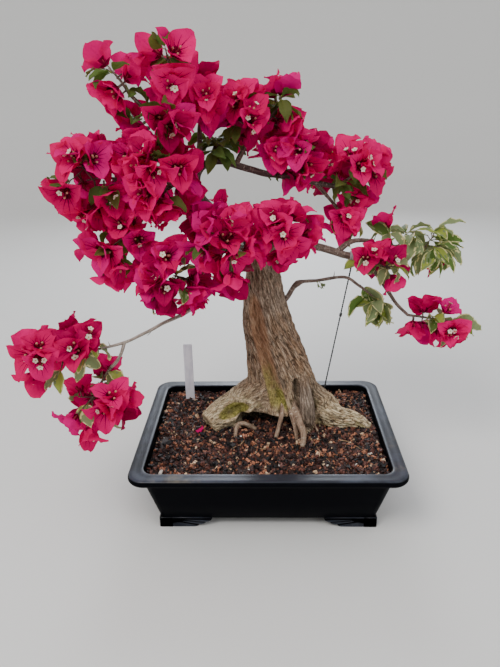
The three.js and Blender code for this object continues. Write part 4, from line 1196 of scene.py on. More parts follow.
LIMB_SHAPE = {
    # share of the limb's length, share of its radius
    "bough_low_left": [(0, 1), (0.3, 0.8), (1, 0.7)],
    # with a knob where the bough was once cut
    "bough_low_right": [(0, 1), (0.33, 1.0), (0.4, 1.38), (0.47, 0.74), (0.75, 0.78), (1, 1)],
}
THICK_LIMB = 5
THORNS = [
    # limb, share of its length, aim, length, radius at its foot
    ("bough_low_right", 0.72, (0.1, -0.2, 1), 10, 1.0),
    ("bough_low_right", 0.58, (0.3, -0.6, -0.5), 5, 0.9),
    ("bough_right", 0.6, (-0.2, -0.6, -0.8), 6, 1.2),
    ("bough_right", 0.8, (0.1, -0.4, -0.9), 7, 1.2),
    ("bough_low_left", 0.6, (-0.8, -0.5, -0.5), 17, 1.0),
    ("bough_low_left", 0.66, (-0.6, -0.5, -0.7), 14, 0.9),
    ("bough_low_left", 0.88, (-0.3, -0.3, 0.9), 8, 0.9),
    ("bough_arch_over", 0.3, (0.2, -0.5, 0.9), 7, 1.2),
    ("bough_arch_over", 0.5, (-0.1, -0.7, -0.7), 7, 1.1),
    ("bough_arch_rise", 0.55, (0.7, -0.6, 0.3), 8, 1.2),
    ("bough_right_drop", 0.4, (0.6, -0.5, 0.6), 7, 0.9),
    ("bough_right_drop", 0.7, (-0.7, -0.5, -0.3), 6, 0.8),
]
# Dark, middle and light colour of the thinner wood.
LIMB_LOOKS = {
    "pale": ((0.13, 0.1, 0.085), (0.3, 0.25, 0.21), (0.5, 0.44, 0.38)),
    "dark": ((0.03, 0.018, 0.018), (0.085, 0.055, 0.05), (0.2, 0.15, 0.13)),
    "brown": ((0.055, 0.033, 0.026), (0.15, 0.1, 0.08), (0.3, 0.225, 0.18)),
}
PALE_LIMBS = ("bough_low_left", "bough_low_left_drop")
DARK_LIMBS = ("bough_arch_rise", "bough_arch_over", "bough_leader", "bough_left_rise", "bough_inner")


def limb_bumps(grain):
    fine = noise(grain / (2.6, 2.6, 13), 81) * 0.5 + noise(grain / (1.4, 1.4, 5), 82) * 0.25
    return 1 + 0.06 * fine


def build_limbs(routes):
    """Every limb with its thorns, in one piece for each look of bark."""
    joined = {key: Joined() for key in LIMB_LOOKS}
    names = {key: [] for key in LIMB_LOOKS}
    for k, (name, route) in enumerate(routes.items()):
        key = "pale" if name in PALE_LIMBS else "dark" if name in DARK_LIMBS else "brown"
        names[key].append(name)
        path = route["fine"]
        share = np.linspace(0, 1, len(path))
        radii = np.linspace(route["radius"][0], route["radius"][1], len(path))
        sides = 18 if radii[0] > THICK_LIMB else 12
        offset = np.array([17.0 * k, 5.0, 3.0])
        wander = np.stack([noise(path / 24 + offset + 7 * i, 61 + i) for i in range(3)], axis=1)
        ends = smoothstep(0, 0.15, share) * smoothstep(1, 0.85, share)
        path = path + wander * (0.22 * radii * ends)[:, None]
        knots = np.maximum(0, noise(path / 17 - offset, 72) - 0.35)
        knuckle = 1 + 0.09 * noise(path / 11 + offset, 71) + 0.16 * knots
        radii = radii * knuckle * np.interp(share, *np.array(LIMB_SHAPE.get(name, [(0, 1), (1, 1)])).T)
        joined[key].add(*with_grain(tube(path, radii, sides, limb_bumps)))
        for limb, at, aim, length, foot in THORNS:
            if limb == name:
                spot, aim = path[round(at * (len(path) - 1))], unit(np.array(aim, float))
                bent = [spot, spot + aim * length * 0.6, spot + aim * length + UP * length * 0.12]
                joined[key].add(*with_grain(tube(smooth_path(bent, 3), np.linspace(foot, 0.2, 7), 6)))
    looks = {key: twig_bark(f"{key}_bark", *colours) for key, colours in LIMB_LOOKS.items()}
    for key, parts in joined.items():
        limbs = parts.piece(f"limbs_{key}", [looks[key]], "bark")
        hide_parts(*names[key])
    return looks


# Growth of a mass, by the source's rule


def planes_around(name, masses):
    """Planes between a mass and each of the others, which its pieces keep behind."""
    mass = masses[name]
    normals, limits = [], []
    for other_name, other in masses.items():
        if other_name != name:
            normal = other["heart"] - mass["heart"]
            distance = np.linalg.norm(normal)
            normal = normal / distance
            own = np.linalg.norm(normal * mass["reach"])
            theirs = np.linalg.norm(normal * other["reach"])
            normals.append(normal)
            limits.append(normal @ mass["heart"] + distance * own / (own + theirs) - CELL_MARGIN)
    return np.array(normals), np.array(limits)


def distance_to_lines(starts, ends, points):
    """Distance from each point to each line: one row for every point."""
    steps = ends - starts
    lengths = np.maximum((steps ** 2).sum(axis=1), 1e-12)
    offset = points[:, None] - starts[None]
    share = np.clip((offset * steps).sum(axis=2) / lengths, 0, 1)
    return np.linalg.norm(offset - share[..., None] * steps, axis=2)


def blade_samples(blade, size, base, along, side):
    """The source's six-cornered blade, as the points that it tests."""
    face = np.cross(along, side) * size
    along, side = along * size, side * size
    (near_at, near_wide), (far_at, far_wide) = blade["near"], blade["far"]

    def corner(share, across):
        raised = 0 if across == 0 else -blade["fold"]
        return base + along * share * blade["length"] + side * across * blade["width"] / 2 + face * raised

    near_left, far_left = corner(near_at, near_wide), corner(far_at, far_wide)
    far_right, near_right = corner(far_at, -far_wide), corner(near_at, -near_wide)
    tip = corner(1, 0)

    def between(a, b, share):
        return a + (b - a) * share

    samples = [near_left, far_left, tip, far_right, near_right]
    for near, far in ((near_left, far_left), (near_right, far_right)):
        samples += [between(near, far, 0.5), between(far, tip, 0.5)]
    samples += [between(base, tip, share) for share in (0.25, 0.42, 0.6, 0.8)]
    for share in (0.25, 0.75):
        samples += [between(far_left, far_right, share), between(near_left, near_right, share)]
    return np.array(samples)


def cluster_ways(axis):
    """The three ways out that a cluster's bracts lean towards."""
    first, second = square_to(axis)
    turns = 2 * np.pi * (np.arange(3) + 0.5) / 3
    return [first * math.cos(turn) + second * math.sin(turn) for turn in turns]


def source_blades(kind, size, base, axis):
    """The source's leaf, or the three bracts of its cluster."""
    if kind == "leaves":
        first, second = square_to(axis)
        return [blade_samples(LEAF, size, base, axis, unit(second + first * LEAF_ROLL))]
    blades = []
    for out in cluster_ways(axis):
        along = axis * math.cos(BRACT_TILT) + out * math.sin(BRACT_TILT)
        blades.append(blade_samples(BRACT, size, base, along, unit(np.cross(along, out))))
    return blades


def even_direction(k, random):
    """The k-th of a row of directions that cover all sides evenly."""
    height = 2 * ((0.5 + k / PLASTIC) % 1) - 1
    turn = 2 * math.pi * (((0.5 + k / PLASTIC ** 2) % 1) + 0.1 * next(random))
    flat = math.sqrt(1 - height * height)
    return np.array([flat * math.cos(turn), flat * math.sin(turn), height])


PIECE_REACH = {"blooms": BRACT["length"] * math.cos(BRACT_TILT), "leaves": LEAF["length"]}


def grow_mass(seed, mass, planes, route, obstacles, fullness):
    """Where the pieces of one mass grow: a list of clusters and leaves, each with its twig."""
    random = seeded(seed)
    normals, limits = planes
    obstacle_from, obstacle_to, obstacle_radius = obstacles
    start = route["path"][-1]
    heart = mass["heart"]
    inside = (route["path"][-2] + start) / 2
    knots = [start + (heart - start) * share for share in STEM["knots"]]
    knot_radii = [STEM["radius"]] * len(knots)
    twig_from, twig_to = [inside], [start + (heart - start) * STEM["overrun"]]
    taken = np.empty((0, 3))
    grown = []

    def clear_points(points, spacing, give, off_twigs=True):
        """Which points lie inside the mass and its planes, and clear of limbs and other pieces."""
        clear = (outness(mass, points) <= 1) & (points @ normals.T <= limits + give).all(axis=1)
        if len(taken) and clear.any():
            left = points[clear]
            squared = (left ** 2).sum(axis=1)[:, None] - 2 * left @ taken.T + (taken ** 2).sum(axis=1)
            clear[clear] = (squared > spacing ** 2).all(axis=1)
        lines = [(obstacle_from, obstacle_to, obstacle_radius + LIMB_CLEARANCE)]
        if off_twigs:
            lines.append((np.array(twig_from), np.array(twig_to), spacing))
        for starts, ends, gap in lines:
            if clear.any():
                clear[clear] = (distance_to_lines(starts, ends, points[clear]) > gap).all(axis=1)
        return clear

    for round_of in (SOURCE_ROUND, FINER_ROUND):
        spacing, size, give = round_of["spacing"], round_of["size"], round_of["give"]
        for kind in ("blooms", "leaves"):
            share = round_of["share"][kind]
            if round_of is FINER_ROUND and kind == "blooms":
                share *= fullness
            wanted = round(mass[kind] * share)
            placed = 0
            for k in range(wanted * TRIES_PER_PIECE):
                if placed >= wanted:
                    break
                depth = max(DEEPEST, SHALLOWEST - DEEPER_EACH_TRY * k)
                aim = even_direction(k + round_of["skip"], random) * mass["reach"] * depth + heart
                reach = PIECE_REACH[kind] * size
                distances = np.linalg.norm(np.array(knots) - aim, axis=1)
                distances[distances <= reach] = np.inf
                nearest = int(distances.argmin())
                if not np.isfinite(distances[nearest]):
                    continue
                knot = knots[nearest]
                axis = unit(aim - knot)
                twig = distances[nearest] - reach >= SHORTEST_TWIG[kind]
                if not twig and kind == "blooms":
                    continue
                base = aim - axis * reach if twig else knot
                blades = source_blades(kind, size, base, axis)
                clear = clear_points(np.concatenate(blades), spacing, give)
                fits = clear.reshape(len(blades), -1).all(axis=1)
                if sum(fits) < FEWEST_BLADES[kind]:
                    continue
                radius = max(TWIG["thinnest"], knot_radii[nearest] * TWIG["thinning"])
                if twig:
                    way_out = knot + (base - knot) * np.array([[0.4], [0.7], [1.0]])
                    if not clear_points(way_out, spacing, give, off_twigs=False).all():
                        continue
                placed += 1
                taken = np.vstack([taken] + [blade for blade, fit in zip(blades, fits) if fit])
                grown.append({"kind": kind, "base": base, "axis": axis, "size": size, "fits": fits,
                              "knot": knot if twig else None, "radius": radius})
                if twig:
                    twig_from.append(knot)
                    twig_to.append(base + axis * (5 if kind == "blooms" else 2))
                    if np.linalg.norm(base - knot) > TWIG["longest"]:
                        knots += [knot + (base - knot) * share for share in TWIG["knots"]]
                        knot_radii += [radius] * len(TWIG["knots"])
    return grown


# Bracts, leaves and flowers

# Outlines: share of the length, share of the width.
BRACT_OUTLINE = [
    (0, 0.1), (0.04, 0.36), (0.1, 0.62), (0.19, 0.85), (0.3, 0.98), (0.42, 1.0), (0.56, 0.92),
    (0.7, 0.75), (0.82, 0.51), (0.92, 0.25), (1, 0.02),
]
LEAF_OUTLINE = [
    (0, 0.06), (0.06, 0.34), (0.15, 0.66), (0.28, 0.93), (0.4, 1.0), (0.54, 0.92), (0.68, 0.72),
    (0.8, 0.48), (0.9, 0.25), (0.96, 0.1), (1, 0.02),
]
# Limits between which each blade's form is drawn. The bracts' lengths and widths are shares of
# their full size.
BRACT_FORM = {
    "length": (0.9, 1.04), "width": (0.82, 1.08), "lean_start": (0.3, 0.75), "lean_end": (0.9, 1.7),
    "cup": (-0.08, 0.2), "wave": (1.1, 2.9), "fold": (0.05, 0.4),
}
LEAF_FORM = {
    "length": (34, 48), "width": (18, 26), "lean_start": (0.0, 0.5), "lean_end": (0.9, 1.8),
    "cup": (0.0, 0.25), "wave": (0.6, 2.2), "fold": (0.05, 0.3),
}
LEAN_STEPS = 32
# Share of the full size of a bract for which the source's rule had no room.
CROWDED = 0.88


class Blades:
    """Many curved blades at once. Each starts at its base along its axis, leans over
    towards its way out, is cupped from side to side and has a wavy edge."""

    def __init__(self, outline, rng, base, axis, out, length, width, lean_start, lean_end, cup, wave,
                 fold, crease=0.7):
        count = len(base)
        self.outline = outline
        self.base, self.axis, self.out = base, axis, out
        self.side = np.cross(axis, out)
        self.length, self.width = length, width
        self.cup, self.fold, self.crease = cup, fold, crease
        self.wave = wave
        self.beats = rng.uniform(1.6, 3.2, (count, 2))
        self.phase = rng.uniform(0, 1, (count, 2))
        self.twist = rng.normal(0, 0.22, count)
        steps = np.linspace(0, 1, LEAN_STEPS + 1)
        self.angle = lean_start[:, None] + (lean_end - lean_start)[:, None] * steps ** 1.2
        middle = (self.angle[:, 1:] + self.angle[:, :-1]) / 2
        zero = np.zeros((count, 1))
        self.ahead = np.hstack([zero, np.cumsum(np.cos(middle), axis=1)]) / LEAN_STEPS
        self.outward = np.hstack([zero, np.cumsum(np.sin(middle), axis=1)]) / LEAN_STEPS

    def at(self, u, v, lift=0.0):
        """Points on every blade: u from base to tip, v from -1 to 1 across."""
        u, v = np.asarray(u, float), np.asarray(v, float)
        k = np.clip(u * LEAN_STEPS, 0, LEAN_STEPS - 1e-6)
        whole = k.astype(int)
        part = k - whole

        def along(values):
            return values[:, whole] * (1 - part) + values[:, whole + 1] * part

        length = self.length[:, None]
        angle = along(self.angle)[..., None]
        spine = (self.base[:, None] + self.axis[:, None] * (length * along(self.ahead))[..., None]
                 + self.out[:, None] * (length * along(self.outward))[..., None])
        face = np.sin(angle) * self.axis[:, None] - np.cos(angle) * self.out[:, None]
        shares, wide = np.array(self.outline).T
        half = self.width[:, None] / 2 * np.interp(u, shares, wide)
        roll = (self.twist[:, None] * u)[..., None]
        side = self.side[:, None] * np.cos(roll) + face * np.sin(roll)
        left = (v > 0).astype(int)
        beat = np.sin(2 * np.pi * (self.beats[:, left] * u + self.phase[:, left]))
        raised = half * (self.cup[:, None] * v ** 2 + self.fold[:, None] * np.abs(v))
        raised = raised + self.crease * (np.minimum(np.abs(v) / 0.3, 1) - 1)
        raised = raised + self.wave[:, None] * beat * np.abs(v) ** 1.6 * np.minimum(1, 4 * u) + lift
        return spine + side * (half * v)[..., None] + face * raised[..., None]


def drawn(rng, form, count):
    """A form for each of many blades, every measure drawn between its two limits."""
    return {measure: rng.uniform(*limits, count) for measure, limits in form.items()}


def grid(rows, columns):
    """Where the corners of a blade's cells lie, its faces, and the middles of its cells."""
    u, v = np.meshgrid(rows, columns, indexing="ij")
    faces = ring_faces(len(rows), len(columns), closed=False)
    centres_u = (np.asarray(rows)[1:] + np.asarray(rows)[:-1]) / 2
    centres_v = (np.asarray(columns)[1:] + np.asarray(columns)[:-1]) / 2
    cell_u, cell_v = (c.ravel() for c in np.meshgrid(centres_u, centres_v, indexing="ij"))
    return u.ravel(), v.ravel(), faces, cell_u, cell_v


def add_blades(joined, blades, rows, columns, shade_of=None):
    """Adds every blade's faces. shade_of gives a shade to each cell of each blade."""
    u, v, faces, cell_u, cell_v = grid(rows, columns)
    points = blades.at(u, v)
    shades = shade_of(cell_u, cell_v).ravel() if shade_of else 0
    joined.add(points.reshape(-1, 3), repeated(faces, len(u), len(points)), shades)


BRACT_ROWS = [0, 0.05, 0.12, 0.2, 0.3, 0.41, 0.52, 0.63, 0.74, 0.84, 0.92, 1]
BRACT_COLUMNS = [-1, -0.8, -0.55, -0.28, 0, 0.28, 0.55, 0.8, 1]
LEAF_ROWS = [0, 0.06, 0.15, 0.27, 0.4, 0.54, 0.68, 0.8, 0.91, 1]
LEAF_COLUMNS = [-1, -0.8, -0.55, -0.25, 0, 0.25, 0.55, 0.8, 1]
VEINS = [
    # from along and across, to along and across, width
    ((0.03, 0.0), (0.8, 0.0), 1.9), ((0.06, 0.03), (0.44, 0.66), 1.7),
    ((0.06, -0.03), (0.44, -0.66), 1.7), ((0.18, 0.02), (0.64, 0.5), 1.2),
    ((0.18, -0.02), (0.64, -0.5), 1.2),
]
VEIN_STEPS = 4
VEIN_LIFT = 0.22


def add_veins(joined, blades, size):
    """Slim tapered veins just proud of a bract's inner face."""
    for (from_u, from_v), (to_u, to_v), width in VEINS:
        share = np.linspace(0, 1, VEIN_STEPS + 1)
        u = from_u + (to_u - from_u) * share
        v = from_v + (to_v - from_v) * share ** 1.2
        half = width / size * (1 - 0.9 * share)
        points = blades.at(np.tile(u, 2), np.concatenate([v - half, v + half]), lift=VEIN_LIFT)
        near = np.arange(VEIN_STEPS)
        far = near + VEIN_STEPS + 1
        faces = np.stack([near, near + 1, far + 1, far], axis=1)
        joined.add(points.reshape(-1, 3), repeated(faces, 2 * len(u), len(points)))


# An open flower: reach and lift of its rim, from the tip of one lobe to the next, and its eye.
STAR_LOBES = 5
STAR_REACH = [5.3, 5.3 * 0.93, 3.7, 5.3 * 0.93]
STAR_LIFT = [0.9, 0.5, 0.2, 0.5]
STAR_EYE = {"radius": 1.3, "edge": 0.5, "middle": 0.9}


def add_star(joined, centre, axis, spin, size):
    """A five-lobed open flower with a small eye."""
    first, second = square_to(axis)
    count = STAR_LOBES * len(STAR_REACH)
    turn = spin + np.linspace(0, 2 * np.pi, count, endpoint=False)
    reach, lift = size * np.tile(STAR_REACH, STAR_LOBES), size * np.tile(STAR_LIFT, STAR_LOBES)
    spokes = first * np.cos(turn)[:, None] + second * np.sin(turn)[:, None]
    rim = centre + spokes * reach[:, None] + axis * lift[:, None]
    inner = centre + spokes * STAR_EYE["radius"] * size - axis * STAR_EYE["edge"] * size
    points = np.vstack([rim, inner, centre - axis * STAR_EYE["middle"] * size])
    fan = np.arange(count)
    over = np.roll(fan, -1)
    petals = halved(np.stack([fan, over, over + count, fan + count], axis=1))
    eye = np.stack([fan + count, over + count, np.full(count, 2 * count)], axis=1)
    joined.add(points, np.concatenate([petals, eye]), np.repeat([0, 1], [2 * count, count]))


# Places of the shades in colour_set's lists.
# The throat tint is painted shade at the bracts' bases.
THROAT = 4
OLIVE, GREEN, SAGE, CREAM, LIME = range(5)


def colour_set():
    """Plain colours of the crown: each is dealt out by cluster or by part of a blade."""
    bracts = [
        papery("bract_magenta", (0.78, 0.0, 0.17), (0.97, 0.0, 0.215)),
        papery("bract_crimson", (0.66, 0.0, 0.122), (0.85, 0.0, 0.158)),
        papery("bract_purple", (0.7, 0.0, 0.2), (0.9, 0.0, 0.25)),
        papery("bract_deep", (0.42, 0.0, 0.08), (0.6, 0.0, 0.11)),
        # Darkest at the bract's base: painted shade in its throat.
        papery("bract_throat_shade", (0.2, 0.0, 0.03), (0.3, 0.0, 0.045)),
    ]
    veins = [papery("bract_vein", (0.085, 0.0, 0.018), (0.15, 0.0, 0.025), share=0.1)]
    leaves = [
        papery("leaf_olive", (0.11, 0.13, 0.035), (0.25, 0.3, 0.05), 0.45, 0.2),
        papery("leaf_green", (0.085, 0.14, 0.035), (0.2, 0.34, 0.05), 0.42, 0.2),
        papery("leaf_sage", (0.2, 0.25, 0.12), (0.35, 0.42, 0.15), 0.5, 0.2),
        papery("leaf_cream", (0.66, 0.62, 0.3), (0.75, 0.7, 0.3), 0.5, 0.25),
        papery("leaf_lime", (0.3, 0.36, 0.07), (0.45, 0.55, 0.1), 0.45, 0.25),
    ]
    return bracts, veins, leaves


# Radius at the tip of a stem and of a twig.
STEM_TIP = 1.2
TWIG_TIP = 0.8


def build_crown(masses, routes, looks):
    """All that grows in the masses, by the source's rule: twigs, bracts, flowers and leaves."""
    clusters, leaves, twigs = [], [], Joined()
    feeding = {route["feeds"]: route for route in routes.values() if route["feeds"]}
    stems = {name: (route["path"][-1], masses[name]["heart"]) for name, route in feeding.items()}
    segments = [limb_segments(route) for route in routes.values()]
    limb_from, limb_to, limb_radius = (np.concatenate(parts) for parts in zip(*segments))
    for k, (name, mass) in enumerate(masses.items()):
        others = [stems[other] for other in masses if other != name]
        start = np.vstack([limb_from, [a for a, _ in others]])
        end = np.vstack([limb_to, [b for _, b in others]])
        radius = np.concatenate([limb_radius, [STEM["radius"]] * len(others)])
        near = (outness(mass, start) < NEARBY) | (outness(mass, end) < NEARBY)
        obstacles = (start[near], end[near], radius[near])
        planes = planes_around(name, masses)
        grown = grow_mass(FIRST_SEED + SEED_STEP * k, mass, planes, feeding[name], obstacles,
                          FULLNESS.get(name, 1))
        rng = np.random.default_rng(FIRST_SEED + k)
        stem_start = feeding[name]["path"][-1]
        stem_end = stem_start + (mass["heart"] - stem_start) * STEM["overrun"]
        add_twig(twigs, rng, stem_start, stem_end, (feeding[name]["radius"][1], STEM_TIP), 8)
        for item in grown:
            item["mass"] = name
            if item["knot"] is not None:
                end = item["base"] + item["axis"] * 1.5
                add_twig(twigs, rng, item["knot"], end, (item["radius"] * 1.1, TWIG_TIP), 5)
            (clusters if item["kind"] == "blooms" else leaves).append(item)
    twigs.piece("twigs", [looks["brown"]], "bark")
    bract_looks, vein_looks, leaf_looks = colour_set()
    build_bracts(masses, clusters, bract_looks, vein_looks)
    build_flowers(clusters)
    build_fallen(bract_looks)
    build_leaves(masses, leaves, leaf_looks)


def add_twig(joined, rng, start, end, radii, sides):
    thick, thin = radii
    length = np.linalg.norm(end - start)
    share = np.linspace(0, 1, max(3, int(length / 7)))
    path = start + (end - start) * share[:, None]
    bulge = np.sin(np.pi * share)[:, None]
    path = path + rng.normal(0, 0.05 * length, 3) * bulge + rng.normal(0, 0.35, path.shape) * bulge
    joined.add(*with_grain(tube(path, thick + (thin - thick) * share ** 0.8, sides)))


# Masses with their heart left of this go in the left half's pieces.
MIDDLE_X = -90
SIDE_SEEDS = {"left": 404, "right": 405}
# Shares of the four tints, magenta, crimson, purple and deep, in the crown and in the low sprays. The low
# sprays take the darker tints more often, which paints shade on them because they get less light than the
# crown.
BRACT_TINTS = {"crown": [0.46, 0.2, 0.22, 0.12], "low": [0.22, 0.34, 0.2, 0.24]}
BRACT_SIZE = {"length": 46, "width": 38}
# How far along and across a bract the painted shade of its throat reaches.
THROAT_REACH = [(0.14, 0.8), (0.26, 0.3)]
# Masses whose bracts are smaller, and their share of the full size.
SMALL_BRACTS = {
    "bloom_low_left_mid": 0.9, "bloom_low_left_low": 0.9, "bloom_right_tip": 0.9,
    "bloom_right_cut": 0.88,
}


def build_bracts(masses, clusters, looks, vein_looks):
    """The bracts and their veins, in one piece for either side of the crown."""
    for side, seed in SIDE_SEEDS.items():
        on_side = [name for name, mass in masses.items()
                   if (mass["heart"][0] < MIDDLE_X) == (side == "left")]
        blades, tint = cluster_bracts([item for item in clusters if item["mass"] in on_side], seed)

        def shade_of(cell_u, cell_v, tint=tint):
            shades = np.repeat(tint[:, None], len(cell_u), axis=1)
            for along, across in THROAT_REACH:
                shades[:, (cell_u < along) & (np.abs(cell_v) < across)] = THROAT
            return shades

        joined = Joined()
        add_blades(joined, blades, BRACT_ROWS, BRACT_COLUMNS, shade_of)
        bracts = joined.piece(f"bracts_{side}", looks, "bloom")
        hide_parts(*[name for name in on_side if name.startswith("bloom")])
        joined = Joined()
        add_veins(joined, blades, BRACT["width"])
        joined.piece(f"bract_veins_{side}", vein_looks, "bloom")


def cluster_bracts(clusters, seed):
    """The bracts of many clusters, and the tint of each."""
    rng = np.random.default_rng(seed)
    base, axis, out, tint, growth = [], [], [], [], []
    for item in clusters:
        # Clusters in the low sprays draw darker tints more often: painted shade.
        shade = rng.choice(4, p=BRACT_TINTS["low" if item["mass"] in SMALL_BRACTS else "crown"])
        size = item["size"] * rng.uniform(0.92, 1.06) * SMALL_BRACTS.get(item["mass"], 1)
        for way, fit in zip(cluster_ways(item["axis"]), item["fits"]):
            base.append(item["base"])
            axis.append(item["axis"])
            out.append(way)
            tint.append(shade)
            growth.append(size if fit else size * CROWDED)
    base, axis, out, tint, growth = (np.array(values) for values in (base, axis, out, tint, growth))
    count = len(base)
    nudge = unit(axis + rng.normal(0, 0.09, axis.shape))
    out = unit(out - nudge * (out * nudge).sum(axis=1)[:, None])
    form = drawn(rng, BRACT_FORM, count)
    for measure, full in BRACT_SIZE.items():
        form[measure] = full * growth * form[measure]
    return Blades(BRACT_OUTLINE, rng, base + out * 0.6, nudge, out, **form), tint


# Slim flowers: their radii from the foot to the top, which ends in a star or in a closed bud.
OPEN_SHARE = 0.24
FLOWER_LEAN = (0.12, 0.34)
FLOWER_FOOT = {"up": 3, "out": 2.2, "top_out": 2, "bulge": 1.2}
OPEN_FLOWER = {"length": (15, 20), "radii": [0.9, 1.5, 1.2, 1.5]}
CLOSED_FLOWER = {"length": (10, 16), "radii": [0.9, 1.4, 1.1, 1.6]}
BUD_RADII = [1.5, 1.7, 0.5]
STAR_SIZES = (0.72, 0.92)


def build_flowers(clusters):
    """Three slim flowers in every cluster: some open as a star, the rest still in bud."""
    rng = np.random.default_rng(406)
    tubes, stars = Joined(), Joined()
    for item in clusters:
        for way in cluster_ways(item["axis"]):
            opened = rng.uniform() < OPEN_SHARE
            flower = OPEN_FLOWER if opened else CLOSED_FLOWER
            length = rng.uniform(*flower["length"])
            lean = rng.uniform(*FLOWER_LEAN)
            top = item["base"] + item["axis"] * length + way * (FLOWER_FOOT["top_out"] + length * lean)
            low = item["base"] + item["axis"] * FLOWER_FOOT["up"] + way * FLOWER_FOOT["out"]
            middle = (low + top) / 2 + way * FLOWER_FOOT["bulge"]
            path = smooth_path([low, middle, top], 2)[[0, 1, 2, 4]]
            tubes.add(*tube(path, flower["radii"], 6)[:2], 0)
            if opened:
                facing = unit(item["axis"] + way * rng.uniform(0, 0.5) + rng.normal(0, 0.12, 3))
                add_star(stars, top + facing * 0.8, facing, rng.uniform(0, 6), rng.uniform(*STAR_SIZES))
            else:
                tip = unit(top - middle)
                tubes.add(*tube([top - tip * 1.2, top + tip, top + tip * 2.6], BUD_RADII, 6)[:2], 1)
    tubes.piece("flower_tubes", [
        papery("flower_tube", (0.34, 0.03, 0.06), (0.4, 0.03, 0.08), share=0.1),
        papery("flower_bud", (0.6, 0.3, 0.22), (0.6, 0.3, 0.2), share=0.1),
    ], "bloom")
    stars.piece("flower_stars", [
        papery("flower_cream", (0.86, 0.8, 0.66), (0.9, 0.85, 0.7), 0.5, 0.2),
        papery("flower_eye", (0.5, 0.42, 0.12), (0.5, 0.4, 0.1), 0.6, 0.1),
    ], "bloom")


# A bract that has dropped on the soil: where it starts, which way it points and opens.
FALLEN = {"base": (-119, -6, 101), "along": (0.97, 0.22, 0.1), "open": (-0.1, 0.0, 1.0)}
FALLEN_FORM = {
    "length": 15, "width": 12, "lean_start": 0, "lean_end": 1.1, "cup": 0.3, "wave": 1.2, "fold": 0.2,
}


def build_fallen(looks):
    rng = np.random.default_rng(407)
    along = unit(np.array(FALLEN["along"]))
    over = np.array(FALLEN["open"])
    over = unit(over - along * (over @ along))
    form = {measure: np.array([value]) for measure, value in FALLEN_FORM.items()}
    base = np.array([FALLEN["base"]], float)
    joined = Joined()
    blades = Blades(BRACT_OUTLINE, rng, base, along[None], over[None], **form)
    add_blades(joined, blades, BRACT_ROWS, BRACT_COLUMNS)
    joined.piece("fallen_bract", looks, "bloom")


# Masses with cream-edged leaves, and the tints that leaves are dealt out from.
VARIEGATED = (
    "leaves_right", "leaves_right_hang", "bloom_right_tip", "bloom_right_cut", "bloom_low_left_mid",
    "bloom_low_left_low", "bloom_back_right", "bloom_right_under", "bloom_lower_left",
)
VARIEGATED_TINTS = [GREEN, SAGE, SAGE, LIME]
OTHER_TINTS = [OLIVE, OLIVE, GREEN, GREEN]
# Where a leaf is cream: how far out from its midrib, and in what share of the cells there.
# Cells that are left over turn sage further in, where chance is above a value.
CREAM_EDGE = {"from": 0.85, "share": 0.62}
CREAM_FLECKS = {"from": 0.6, "share": 0.14}
CREAM_TIP = 0.95
SAGE_PATCHES = {"from": 0.3, "above": 0.72}
LEAFY = ("leaves_right", "leaves_right_hang")
LEAFY_GROWTH = 1.1
LEAFY_DROOP = 0.5
OTHER_GROWTH = 0.85
WIDEST_GROWTH = 0.9
SIDE_LEAF_TURN = (0.5, 1.1)
STALKS = {"length": (3, 7), "radii": [0.75, 0.6, 0.55]}
SPRIG = [
    # young leaves under the low right bough: place, heading, way it opens, share of full size
    ((80, 33, 344), (0.2, -0.5, -0.85), (0.6, -0.6, 0), 0.34),
    ((84, 33, 344), (0.7, -0.4, -0.6), (0, -0.8, 0.4), 0.3),
]


def leaf_places(leaves, rng):
    """Base, heading, way it opens, tint, whether it has a cream edge, and growth of each leaf."""
    places = []
    for item in leaves:
        way = item["axis"]
        if item["mass"] in LEAFY:
            way = unit(way - LEAFY_DROOP * UP)
        down = -UP - way * (-UP @ way)
        down = down if np.linalg.norm(down) > 0.2 else square_to(way)[0]
        sideways = np.cross(way, unit(down))
        turns = rng.permutation([0.0, rng.uniform(*SIDE_LEAF_TURN), -rng.uniform(*SIDE_LEAF_TURN)])
        for turn in turns[: rng.integers(1, 3)]:
            heading = unit(way * math.cos(turn) + sideways * math.sin(turn))
            lean_out = unit(down) + rng.normal(0, 0.35, 3)
            lean_out = unit(lean_out - heading * (lean_out @ heading))
            rimmed = item["mass"] in VARIEGATED
            growth = LEAFY_GROWTH if item["mass"] in LEAFY else OTHER_GROWTH
            tint = rng.choice(VARIEGATED_TINTS if rimmed else OTHER_TINTS)
            places.append((item["base"], heading, lean_out, tint, rimmed, growth))
    for spot, heading, opens, size in SPRIG:
        heading, opens = unit(np.array(heading, float)), np.array(opens, float)
        lean_out = unit(opens - heading * (opens @ heading))
        places.append((np.array(spot, float), heading, lean_out, SAGE, False, size))
    return (np.array(values) for values in zip(*places))


